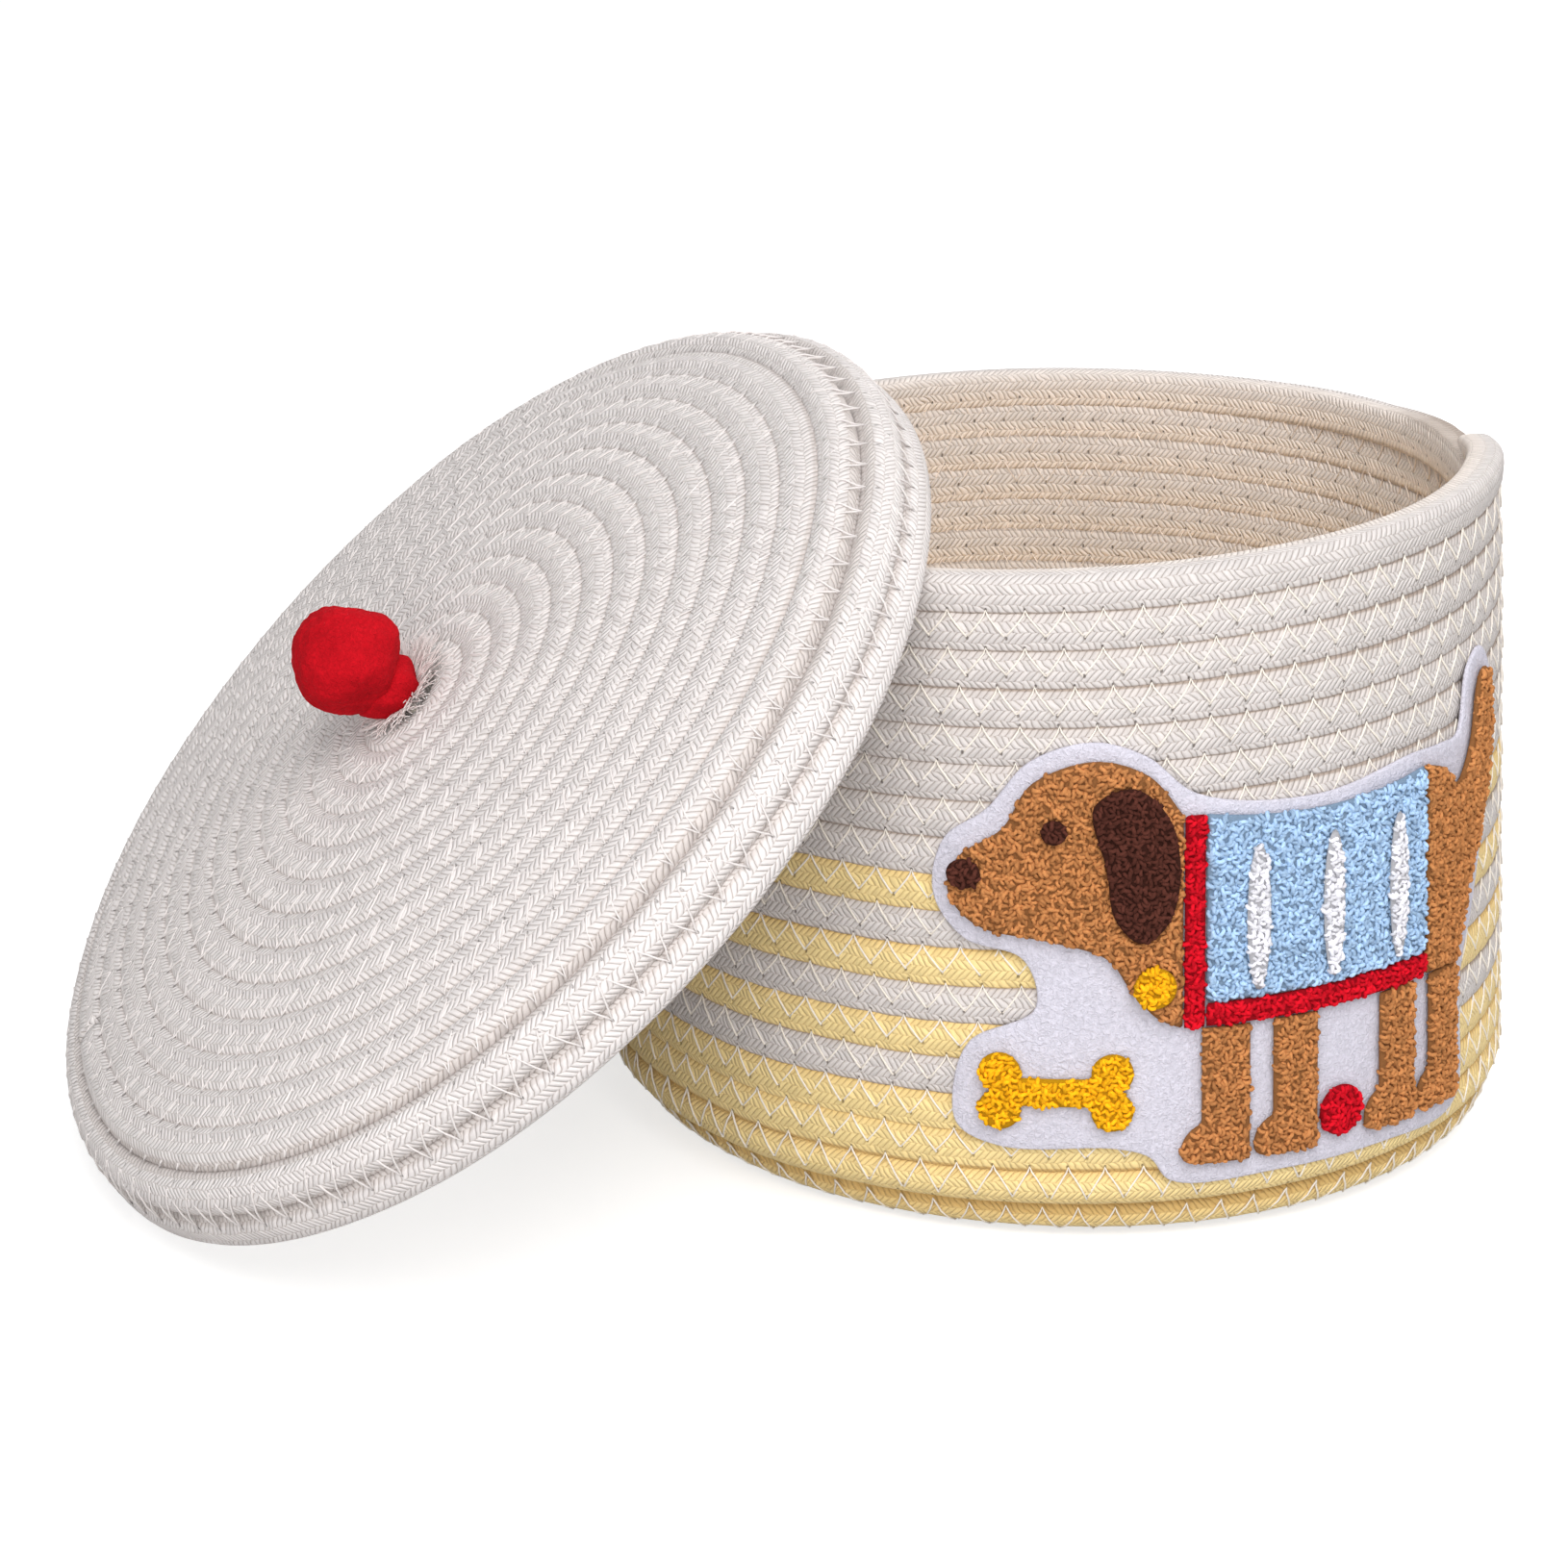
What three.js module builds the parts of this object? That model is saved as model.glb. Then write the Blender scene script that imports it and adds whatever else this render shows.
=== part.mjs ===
// A round rope basket with a loose domed lid, a felt ball on the lid and a dog figure in loop pile on the wall.
// Millimetres, +Z up. The origin is the centre of the basket's underside, and -Y faces the viewer.
// The lid leans on the rim on the -X side, with its edge on the floor.
import * as THREE from "three";
import { mergeVertices } from "three/addons/utils/BufferGeometryUtils.js";

// Rope: one rope wound round and round and sewn to itself, row against row.
const ROW_PITCH = 9;
const ROW_GAP = 0.7;
const ROPE_THICKNESS = 9;
const ROPE_FLANK = 3.2;
const STEPS_PER_LOOP = 20;
const END_GAP = 0.35;

// Basket wall. Rows are counted from the foot up, and the upper white rope takes the rest up to the rim.
const RIM_RADIUS = 109.5;
const FOOT_RADIUS = 116;
const WALL_HEIGHT = 162;
const FOOT_BEND = 12;
const STRIPE_ROWS = 6;
const LOWER_YELLOW_ROWS = 2;
const FOOT_ROWS = 2;
const ROPE_END_ANGLE = 20;
const RIM_SLANT = 5.8;
const RIM_SAG = 4.7;

// Lid, and how it leans.
const LID_RADIUS = 133;
const LID_CROWN_RADIUS = 560;
const LID_SHOULDER_BEND = 9;
const LID_SKIRT = 12;
const LID_SKIRT_ROWS = 3;
const LID_EYE_RADIUS = 2;
const LID_TILT = 44.5;
const LEAN_AZIMUTH = 206;
const LID_END_ANGLE = 190;
const SEAT_GAP = 0.3;

// Felt ball on the lid, its thread and the frayed rope end round its foot.
const BALL_DIAMETER = 29;
const BALL_STALK = 3;
const THREAD_DIAMETER = 2.6;
const KNOT_DIAMETER = 8;
const FRAY_RADIUS = 12;
const FRAY_HEIGHT = 3.4;

// Dog figure on the wall: felt below, loop pile on it, small patches on top.
const FIGURE_ANGLE = -61.5;
const FIGURE_HEIGHT = 74;
const FELT_THICKNESS = 1.2;
const PILE_THICKNESS = 2.2;
const PATCH_THICKNESS = 1.5;
const CLOTH_GAP = 0.35;
const CLOTH_STEP = 9.5;
const DRAWING_GRID = 10;
const EYE_RADIUS = 3;
const NOSE_WIDTH = 8;
const NOSE_HEIGHT = 7.2;
const TAG_RADIUS = 5;
const COAT_FRONT = -20;
const COAT_REAR = 44;
const COAT_TOP = 33;
const COAT_SAG = 5;
const BELLY = -18;
const HEM_WIDTH = 5.6;
const TRIM_WIDTH = 5;
const STRIPE_WIDTH = 6;
const STRIPE_SPACING = 20;
const LEG_WIDTH = 12;
const LEG_LENGTH = 33.5;
const PAW_REACH = 5;
const PAW_HEIGHT = 10;
const LEG_PLACES = [-15, 3, 34, 52];
const BONE_X = -55;
const BONE_Y = -33;
const BONE_LENGTH = 36;
const BONE_KNOB = 5;
const BONE_SPREAD = 4.6;
const BONE_SHAFT = 7;
const TOY_RADIUS = 6.2;

const rad = THREE.MathUtils.degToRad;
const halfRope = ROPE_THICKNESS / 2;
const halfFlank = ROPE_FLANK / 2;
const halfRow = (ROW_PITCH - ROW_GAP) / 2;

function cloth(color) {
  return new THREE.MeshStandardMaterial({ color, roughness: 0.92, metalness: 0 });
}

const whiteCotton = cloth(0xe6e2dc);
const yellowCotton = cloth(0xf2cf74);
const lilacFelt = cloth(0xe2deea);
const brownPile = cloth(0xa9805c);
const darkPile = cloth(0x4a372c);
const bluePile = cloth(0xa9cbe6);
const creamPile = cloth(0xf1ece0);
const yellowPile = cloth(0xf2c53d);
const redPile = cloth(0xc8202c);
const redFelt = cloth(0xd0101e);
const creamThread = cloth(0xe9e0c8);

// A section line in the plane of radius and height. A turn above zero goes from outward to upward.
// Bends are measured on their inner side, where neighbouring rows come closest.
class SectionLine {
  constructor(radius, height, heading) {
    this.parts = [];
    this.end = { radius, height, heading };
    this.length = 0;
  }
  straight(length) {
    return this.add(length, (walked, from) => ({
      radius: from.radius + walked * Math.cos(from.heading),
      height: from.height + walked * Math.sin(from.heading),
      heading: from.heading,
    }));
  }
  bend(bendRadius, turn) {
    const side = Math.sign(turn);
    const inner = bendRadius - halfFlank;
    return this.add(inner * Math.abs(turn), (walked, from) => {
      const heading = from.heading + (side * walked) / inner;
      return {
        radius: from.radius + side * bendRadius * (Math.sin(heading) - Math.sin(from.heading)),
        height: from.height - side * bendRadius * (Math.cos(heading) - Math.cos(from.heading)),
        heading,
      };
    });
  }
  add(length, walk) {
    this.parts.push({ start: this.length, from: this.end, walk });
    this.end = walk(length, this.end);
    this.length += length;
    return this;
  }
  at(distance) {
    let part = this.parts[0];
    for (const next of this.parts) {
      if (next.start <= distance) part = next;
    }
    return part.walk(distance - part.start, part.from);
  }
}

// The rope's six-sided section. Its flat flanks face the neighbouring rows.
function ropeSection(place) {
  const corners = [
    [0, halfRope],
    [halfRow, halfFlank],
    [halfRow, -halfFlank],
    [0, -halfRope],
    [-halfRow, -halfFlank],
    [-halfRow, halfFlank],
  ];
  return corners.map(([along, out]) => ({
    radius: place.radius + along * Math.cos(place.heading) + out * Math.sin(place.heading),
    height: place.height + along * Math.sin(place.heading) - out * Math.cos(place.heading),
  }));
}

function aroundAxis({ radius, height }, angle) {
  return new THREE.Vector3(radius * Math.cos(angle), radius * Math.sin(angle), height);
}

// The steps of a wound rope between two counts of loops, both counted back from its end.
// Steps fall on the same angles in every loop, so rows face each other corner to corner.
function ropeSteps(line, endAngle, fromLoop, toLoop) {
  const steps = [];
  const last = Math.floor(toLoop * STEPS_PER_LOOP + 1e-6);
  for (let i = Math.round(fromLoop * STEPS_PER_LOOP); i <= last; i++) {
    const loops = i / STEPS_PER_LOOP;
    steps.push({
      place: line.at(line.length - loops * ROW_PITCH),
      angle: endAngle - loops * 2 * Math.PI,
    });
  }
  steps[0].angle -= END_GAP / 2 / steps[0].place.radius;
  steps.at(-1).angle += END_GAP / 2 / steps.at(-1).place.radius;
  return steps;
}

// A closed mesh from corner points and faces, with its faces turned outward.
function closedGeometry(points, faces) {
  const volume = faces.reduce((sum, [a, b, c]) => {
    return sum + points[a].dot(points[b].clone().cross(points[c]));
  }, 0);
  const outward = volume < 0 ? faces.map(([a, b, c]) => [a, c, b]) : faces;
  const geometry = new THREE.BufferGeometry().setFromPoints(points);
  geometry.setIndex(outward.flat());
  geometry.computeVertexNormals();
  return geometry;
}

function ropeGeometry(steps, settle) {
  const points = steps.flatMap(({ place, angle }) => {
    return ropeSection(place).map((corner) => settle(aroundAxis(corner, angle)));
  });
  const sides = points.length / steps.length;
  const faces = [];
  for (let i = 0; i + 1 < steps.length; i++) {
    for (let k = 0; k < sides; k++) {
      const a = i * sides + k;
      const b = i * sides + ((k + 1) % sides);
      faces.push([a, b, b + sides], [a, b + sides, a + sides]);
    }
  }
  const lastRing = points.length - sides;
  for (let k = 1; k + 1 < sides; k++) {
    faces.push([0, k + 1, k], [lastRing, lastRing + k, lastRing + k + 1]);
  }
  return closedGeometry(points, faces);
}

// The least gap of a rope to itself: corners of one loop against the flanks of the next, both ways.
function leastGap(steps) {
  let least = Infinity;
  const measure = (corners, edges) => {
    for (const p of corners) {
      edges.forEach((a, k) => {
        const b = edges[(k + 1) % edges.length];
        const edge = new THREE.Vector2(b.radius - a.radius, b.height - a.height);
        const reach = new THREE.Vector2(p.radius - a.radius, p.height - a.height);
        const share = THREE.MathUtils.clamp(reach.dot(edge) / edge.lengthSq(), 0, 1);
        least = Math.min(least, reach.addScaledVector(edge, -share).length());
      });
    }
  };
  for (let i = 0; i + STEPS_PER_LOOP < steps.length; i++) {
    const one = ropeSection(steps[i].place);
    const next = ropeSection(steps[i + STEPS_PER_LOOP].place);
    measure(one, next);
    measure(next, one);
  }
  return least;
}

const part = new THREE.Group();
const basket = new THREE.Group();
const lid = new THREE.Group();
part.add(basket, lid);

function addMesh(group, name, geometry, material) {
  const mesh = new THREE.Mesh(geometry, material);
  mesh.name = name;
  group.add(mesh);
  return mesh;
}

function addRope(group, name, steps, settle, material) {
  if (steps.length > STEPS_PER_LOOP + 1) {
    console.log(name + ": least gap to itself " + leastGap(steps).toFixed(2) + " mm");
  }
  return addMesh(group, name, ropeGeometry(steps, settle), material);
}

// Wall line: round the foot bend and up the wall, which draws in towards the rim.
const wallLean = Math.atan((FOOT_RADIUS - RIM_RADIUS) / (WALL_HEIGHT - FOOT_BEND));
const wallHeading = Math.PI / 2 + wallLean;
const wallLine = (() => {
  const line = new SectionLine(FOOT_RADIUS - halfRope - FOOT_BEND, halfRope, 0);
  line.bend(FOOT_BEND, wallHeading);
  const ropeTop = WALL_HEIGHT + ROW_PITCH / 2 - halfRope;
  return line.straight((ropeTop - line.end.height) / Math.cos(wallLean));
})();
const wallLoops = wallLine.length / ROW_PITCH;
const footLoop = Math.round(wallLoops) - FOOT_ROWS;
const lowerLoop = footLoop - LOWER_YELLOW_ROWS;
const stripeLoop = lowerLoop - STRIPE_ROWS;
const ropeEndAngle = rad(ROPE_END_ANGLE);

// The soft wall stands a little higher on the +X side and sags towards the side that carries the lid.
function settleWall(point) {
  const share = point.z / WALL_HEIGHT;
  const rise = ((RIM_SLANT * point.x) / RIM_RADIUS) * share;
  return point.set(point.x - RIM_SAG * share, point.y, point.z + rise);
}

function addWallRope(name, fromLoop, toLoop, material) {
  addRope(basket, name, ropeSteps(wallLine, ropeEndAngle, fromLoop, toLoop), settleWall, material);
}

addWallRope("upper_white_rope", 0, stripeLoop, whiteCotton);
for (let i = 0; i < STRIPE_ROWS; i++) {
  const yellow = i % 2 === 0;
  const name = (yellow ? "yellow_row_" : "white_row_") + (Math.floor(i / 2) + 1);
  const loop = stripeLoop + i;
  addWallRope(name, loop, loop + 1, yellow ? yellowCotton : whiteCotton);
}
addWallRope("lower_yellow_rope", lowerLoop, footLoop, yellowCotton);
addWallRope("foot_rope", footLoop, wallLoops, yellowCotton);

// Base: a flat disc inside the lowest loop, with a step out where that loop begins.
const baseGeometry = (() => {
  const steps = ropeSteps(wallLine, ropeEndAngle, wallLoops - 1, wallLoops).reverse();
  const outline = steps.map(({ place, angle }) => {
    const inner = Math.min(...ropeSection(place).map((corner) => corner.radius));
    return aroundAxis({ radius: inner - ROW_GAP, height: 0 }, angle);
  });
  const top = outline.map((p) => settleWall(p.clone().setZ(ROPE_THICKNESS)));
  const count = outline.length;
  const points = [...outline, ...top, new THREE.Vector3(), new THREE.Vector3(0, 0, ROPE_THICKNESS)];
  const faces = outline.flatMap((_, i) => {
    const next = (i + 1) % count;
    return [
      [i, next, next + count],
      [i, next + count, i + count],
      [next, i, 2 * count],
      [i + count, next + count, 2 * count + 1],
    ];
  });
  return closedGeometry(points, faces);
})();
addMesh(basket, "base_disc", baseGeometry, yellowCotton);

// Lid line: from the eye out over the domed top, round the shoulder and down the skirt to the open edge.
// The lid's own origin is the centre of its open edge, halfway along the climb of the last loop.
const lidLine = (() => {
  const eye = LID_EYE_RADIUS + halfRow;
  const skirtRadius = LID_RADIUS - halfRope;
  const bendShare = LID_SHOULDER_BEND / LID_CROWN_RADIUS;
  const shoulder = (skirtRadius - LID_SHOULDER_BEND - bendShare * eye) / (1 - bendShare);
  const slope = Math.asin((shoulder - eye) / LID_CROWN_RADIUS);
  const crown = LID_CROWN_RADIUS * (1 - Math.cos(slope));
  const top = LID_SKIRT + LID_SHOULDER_BEND * Math.cos(slope) + crown;
  const line = new SectionLine(eye, top, 0);
  line.bend(LID_CROWN_RADIUS, -slope);
  line.bend(LID_SHOULDER_BEND, slope - Math.PI / 2);
  return line.straight(LID_SKIRT - halfRope + ROW_PITCH / 2);
})();
const lidTop = lidLine.at(0).height;
const lidLoops = lidLine.length / ROW_PITCH;

function lidSteps(fromLoop, toLoop) {
  return ropeSteps(lidLine, rad(LID_END_ANGLE), fromLoop, toLoop);
}

function addLidRope(name, fromLoop, toLoop) {
  return addRope(lid, name, lidSteps(fromLoop, toLoop), (point) => point, whiteCotton);
}
addLidRope("lid_crown_rope", LID_SKIRT_ROWS, lidLoops);
const lidSkirt = addLidRope("lid_skirt_rope", 0, LID_SKIRT_ROWS);

function turned(points) {
  const profile = points.map(([x, y]) => new THREE.Vector2(x, y));
  const geometry = new THREE.LatheGeometry([...profile, profile[0]], 20);
  return geometry.rotateX(Math.PI / 2);
}

// Thread of the ball: a knot under the eye and a stem up to the ball.
const lidSurface = lidTop + halfRope;
const ballBottom = lidSurface + BALL_STALK;
const threadRadius = THREAD_DIAMETER / 2;
const knotTop = lidTop - halfRope - SEAT_GAP;
const knotRadius = KNOT_DIAMETER / 2;
const threadGeometry = (() => {
  const profile = [new THREE.Vector2(0, knotTop - KNOT_DIAMETER)];
  for (const angle of [-45, 0, 30]) {
    const height = knotTop - knotRadius + knotRadius * Math.sin(rad(angle));
    profile.push(new THREE.Vector2(knotRadius * Math.cos(rad(angle)), height));
  }
  profile.push(new THREE.Vector2(threadRadius, knotTop));
  profile.push(new THREE.Vector2(threadRadius, ballBottom - SEAT_GAP));
  profile.push(new THREE.Vector2(0, ballBottom - SEAT_GAP));
  return new THREE.LatheGeometry(profile, 12).rotateX(Math.PI / 2);
})();
addMesh(lid, "ball_thread", threadGeometry, creamThread);

// Frayed end of the rope, a low ring round the stem and under the ball.
const frayInner = threadRadius + SEAT_GAP;
const frayGeometry = turned([
  [frayInner, lidSurface + SEAT_GAP],
  [FRAY_RADIUS, lidSurface + SEAT_GAP],
  [FRAY_RADIUS, lidSurface + FRAY_HEIGHT / 2],
  [(FRAY_RADIUS * 2) / 3, lidSurface + FRAY_HEIGHT],
  [frayInner, ballBottom - SEAT_GAP * 2],
]);
addMesh(lid, "frayed_rope_end", frayGeometry, creamThread);

const ballGeometry = new THREE.SphereGeometry(BALL_DIAMETER / 2, 24, 16);
const ball = addMesh(lid, "pompom_ball", ballGeometry, redFelt);
ball.position.z = ballBottom + BALL_DIAMETER / 2;

// The lid turns away from the basket and stands on the floor by its lowest point.
const leanAway = aroundAxis({ radius: 1, height: 0 }, rad(LEAN_AZIMUTH));
const hingeLine = new THREE.Vector3(-leanAway.y, leanAway.x, 0);
lid.quaternion.setFromAxisAngle(hingeLine, rad(LID_TILT));
lid.updateMatrixWorld();
lid.position.z = -new THREE.Box3().setFromObject(lidSkirt, true).min.z;

// It slides in until its rope lies a seat gap from the rim's rope.
function ropeCentres(steps, place) {
  return steps.map(({ place: at, angle }) => place(aroundAxis(at, angle)));
}

function segmentGap(a, b, c, d) {
  const u = b.clone().sub(a);
  const v = d.clone().sub(c);
  const w = a.clone().sub(c);
  const clamp = THREE.MathUtils.clamp;
  const [uu, uv, vv, uw, vw] = [u.dot(u), u.dot(v), v.dot(v), u.dot(w), v.dot(w)];
  let s = clamp((uv * vw - vv * uw) / (uu * vv - uv * uv || 1), 0, 1);
  const t = clamp((uv * s + vw) / vv, 0, 1);
  s = clamp((uv * t - uw) / uu, 0, 1);
  return w.addScaledVector(u, s).addScaledVector(v, -t).length();
}

function lidToRim(reach) {
  const shift = leanAway.clone().multiplyScalar(reach).setZ(lid.position.z);
  const rim = ropeCentres(ropeSteps(wallLine, ropeEndAngle, 0, stripeLoop / 2), settleWall);
  const cover = ropeCentres(lidSteps(0, LID_SKIRT_ROWS), (p) => p.applyQuaternion(lid.quaternion).add(shift));
  let least = Infinity;
  for (let i = 0; i + 1 < rim.length; i++) {
    for (let k = 0; k + 1 < cover.length; k++) {
      if (rim[i].distanceTo(cover[k]) > least + 2 * RIM_RADIUS) continue;
      least = Math.min(least, segmentGap(rim[i], rim[i + 1], cover[k], cover[k + 1]));
    }
  }
  return least - ROPE_THICKNESS;
}

const lidReach = (() => {
  let near = RIM_RADIUS;
  let far = RIM_RADIUS + LID_RADIUS;
  for (let i = 0; i < 14; i++) {
    const middle = (near + far) / 2;
    if (lidToRim(middle) < SEAT_GAP) near = middle;
    else far = middle;
  }
  return far;
})();
lid.position.add(leanAway.clone().multiplyScalar(lidReach));
console.log("lid: gap to the rim " + lidToRim(lidReach).toFixed(2) + " mm");

// Cloth: an outline drawn flat as seen from outside, x to the right and y up, is wrapped round the wall.
function wrapOnWall(x, y, out) {
  const height = FIGURE_HEIGHT + y;
  const drawnIn = (wallLine.end.height - height) * Math.tan(wallLean);
  const wallRadius = wallLine.end.radius + drawnIn + halfRope / Math.cos(wallLean);
  const angle = rad(FIGURE_ANGLE) + x / FOOT_RADIUS;
  return settleWall(aroundAxis({ radius: wallRadius + out, height }, angle));
}

// Splits each edge that is wider than a cloth step, so that the flat piece can follow the curve.
function splitWideFaces(points, faces) {
  const middles = new Map();
  const middle = (a, b) => {
    const key = Math.min(a, b) + "," + Math.max(a, b);
    if (!middles.has(key)) {
      points.push(points[a].clone().add(points[b]).multiplyScalar(0.5));
      middles.set(key, points.length - 1);
    }
    return middles.get(key);
  };
  const isWide = (a, b) => Math.abs(points[a].x - points[b].x) > CLOTH_STEP;
  const next = [];
  for (const face of faces) {
    const wide = face.map((a, k) => isWide(a, face[(k + 1) % 3]));
    const count = wide.filter(Boolean).length;
    let turn = 0;
    if (count === 1) turn = wide.indexOf(true);
    if (count === 2) turn = (wide.indexOf(false) + 1) % 3;
    const [a, b, c] = [face[turn], face[(turn + 1) % 3], face[(turn + 2) % 3]];
    if (count === 0) next.push(face);
    if (count === 1) next.push([a, middle(a, b), c], [middle(a, b), b, c]);
    if (count < 2) continue;
    const [ab, bc] = [middle(a, b), middle(b, c)];
    if (count === 2) next.push([ab, b, bc], [a, ab, bc], [a, bc, c]);
    if (count === 3) {
      const ca = middle(c, a);
      next.push([a, ab, ca], [ab, b, bc], [bc, c, ca], [ab, bc, ca]);
    }
  }
  return middles.size ? splitWideFaces(points, next) : next;
}

function addCloth(name, outline, inner, thickness, material) {
  const curveSegments = 6;
  const flat = new THREE.ExtrudeGeometry(outline, { depth: thickness, bevelEnabled: false, curveSegments });
  flat.deleteAttribute("normal");
  flat.deleteAttribute("uv");
  const merged = mergeVertices(flat, 1e-3);
  const points = [];
  for (let i = 0; i < merged.attributes.position.count; i++) {
    points.push(new THREE.Vector3().fromBufferAttribute(merged.attributes.position, i));
  }
  const faces = [];
  for (let i = 0; i < merged.index.count; i += 3) {
    faces.push([0, 1, 2].map((k) => merged.index.getX(i + k)));
  }
  const fine = splitWideFaces(points, faces);
  const wrapped = points.map((p) => wrapOnWall(p.x, p.y, inner + p.z));
  addMesh(basket, name, closedGeometry(wrapped, fine), material);
}

const pileInner = SEAT_GAP + FELT_THICKNESS + CLOTH_GAP;
const patchInner = pileInner + PILE_THICKNESS + CLOTH_GAP;

function addPile(name, outline, material) {
  addCloth(name, outline, pileInner, PILE_THICKNESS, material);
}

function addPatch(name, outline, material) {
  addCloth(name, outline, patchInner, PATCH_THICKNESS, material);
}

// Places on the figure's drawing grid, in millimetres.
function onGrid(places) {
  return places.map(([x, y]) => [x * DRAWING_GRID, y * DRAWING_GRID]);
}

// A smooth closed outline through chosen points, with two steps for each.
function smoothOutline(places) {
  const curve = new THREE.CatmullRomCurve3(
    places.map(([x, y]) => new THREE.Vector3(x, y, 0)),
    true,
    "centripetal",
  );
  const points = curve.getPoints(places.length * 2).slice(0, -1);
  return new THREE.Shape(points.map((p) => new THREE.Vector2(p.x, p.y)));
}

function oval(x, y, halfWidth, halfHeight) {
  const shape = new THREE.Shape();
  shape.absellipse(x, y, halfWidth, halfHeight, 0, 2 * Math.PI, false, 0);
  return shape;
}

function box(left, bottom, right, top) {
  const shape = new THREE.Shape();
  shape.moveTo(left, bottom).lineTo(right, bottom).lineTo(right, top).lineTo(left, top).closePath();
  return shape;
}

// An outline with one curved side through chosen places and a straight way back.
function curvedSide(places) {
  const curve = new THREE.SplineCurve(places.map(([x, y]) => new THREE.Vector2(x, y)));
  return new THREE.Shape(curve.getPoints((places.length - 1) * 2));
}

// One felt backing carries the whole figure.
const feltOutline = smoothOutline(onGrid([
  [-2.2, 3.75],
  [-3.4, 4.7],
  [-4.7, 5.1],
  [-6.2, 4.65],
  [-7.2, 3.5],
  [-8.2, 2.75],
  [-8.45, 1.4],
  [-7.7, 0.35],
  [-6.3, -0.1],
  [-6, -1.3],
  [-7.5, -2.15],
  [-7.9, -3.2],
  [-7.8, -4.3],
  [-6.8, -4.75],
  [-4.2, -4.75],
  [-3.3, -5],
  [-2.8, -5.6],
  [0, -5.65],
  [3, -5.65],
  [5.6, -5.65],
  [6.25, -5.2],
  [6.3, -2.4],
  [7, -0.8],
  [7.6, 0.8],
  [8.2, 2.7],
  [8.2, 4.6],
  [7.5, 5.35],
  [6.7, 5],
  [6.2, 3.6],
  [5.4, 3.55],
  [4, 3.6],
  [1, 3.3],
]));
addCloth("felt_backing", feltOutline, SEAT_GAP, FELT_THICKNESS, lilacFelt);

// Head and chest in brown, with a drop ear, an eye, a nose and a name tag on top.
const trimFront = COAT_FRONT - CLOTH_GAP - TRIM_WIDTH;
const neck = trimFront - CLOTH_GAP;
const headOutline = curvedSide([
  [neck, COAT_TOP],
  ...onGrid([
    [-3.4, 4.3],
    [-4.7, 4.7],
    [-6.1, 4.2],
    [-6.8, 3.1],
    [-7.8, 2.4],
    [-8.05, 1.5],
    [-7.3, 0.7],
    [-5.7, 0.4],
    [-4.4, 0],
    [-3.8, -0.8],
    [-3.2, -1.5],
  ]),
  [neck, BELLY],
]);
const earOutline = smoothOutline(onGrid([
  [-4.7, 3.7],
  [-3.8, 4.1],
  [-3, 3.4],
  [-2.7, 2],
  [-3, 0.8],
  [-3.6, 0.4],
  [-4.2, 1],
  [-4.4, 2.2],
]));
addPile("head_pile", headOutline, brownPile);
addPatch("ear_patch", earOutline, darkPile);
const [eyeAt, noseAt] = onGrid([
  [-5.6, 3.1],
  [-7.65, 2.05],
]);
const tagDrop = 1.4 * TAG_RADIUS;
addPatch("eye_patch", oval(...eyeAt, EYE_RADIUS, EYE_RADIUS), darkPile);
addPatch("nose_patch", oval(...noseAt, NOSE_WIDTH / 2, NOSE_HEIGHT / 2), darkPile);
addPatch("name_tag_patch", oval(neck - tagDrop, -tagDrop, TAG_RADIUS, TAG_RADIUS), yellowPile);

// Coat in light blue, with a red trim in front, a red hem below and cream stripes on top.
const hemTop = BELLY + HEM_WIDTH;
const coatOutline = new THREE.Shape();
const backMiddle = (COAT_FRONT + COAT_REAR) / 2;
coatOutline.moveTo(COAT_FRONT, COAT_TOP);
coatOutline.quadraticCurveTo(backMiddle, COAT_TOP - COAT_SAG, COAT_REAR, COAT_TOP);
coatOutline.lineTo(COAT_REAR, hemTop + CLOTH_GAP);
coatOutline.lineTo(COAT_FRONT, hemTop + CLOTH_GAP);
addPile("coat_pile", coatOutline, bluePile);
addPile("coat_trim", box(trimFront, BELLY, COAT_FRONT - CLOTH_GAP, COAT_TOP), redPile);
addPile("coat_hem", box(COAT_FRONT, BELLY, COAT_REAR, hemTop), redPile);
const stripeMiddle = (hemTop + COAT_TOP - COAT_SAG) / 2;
const stripeReach = (COAT_TOP - hemTop) / 2 - COAT_SAG;
[-1, 0, 1].forEach((side, i) => {
  const x = backMiddle + side * STRIPE_SPACING;
  addPatch("coat_stripe_" + (i + 1), oval(x, stripeMiddle, STRIPE_WIDTH / 2, stripeReach), creamPile);
});

// Rump and tail, then four legs with paws that point forward.
const rumpFront = COAT_REAR + CLOTH_GAP;
const rumpHeel = LEG_PLACES.at(-1) + LEG_WIDTH / 2;
const rumpOutline = curvedSide([
  [rumpHeel, BELLY],
  ...onGrid([
    [6.2, -0.7],
    [6.6, 0.2],
    [7.2, 1.3],
    [7.7, 2.8],
    [7.8, 4.4],
    [7.4, 4.9],
    [6.95, 4.5],
    [6.6, 3.3],
    [5.9, 2.5],
    [5.3, 3],
  ]),
  [rumpFront, COAT_TOP],
]);
rumpOutline.lineTo(rumpFront, BELLY);
addPile("rump_and_tail", rumpOutline, brownPile);

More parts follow.
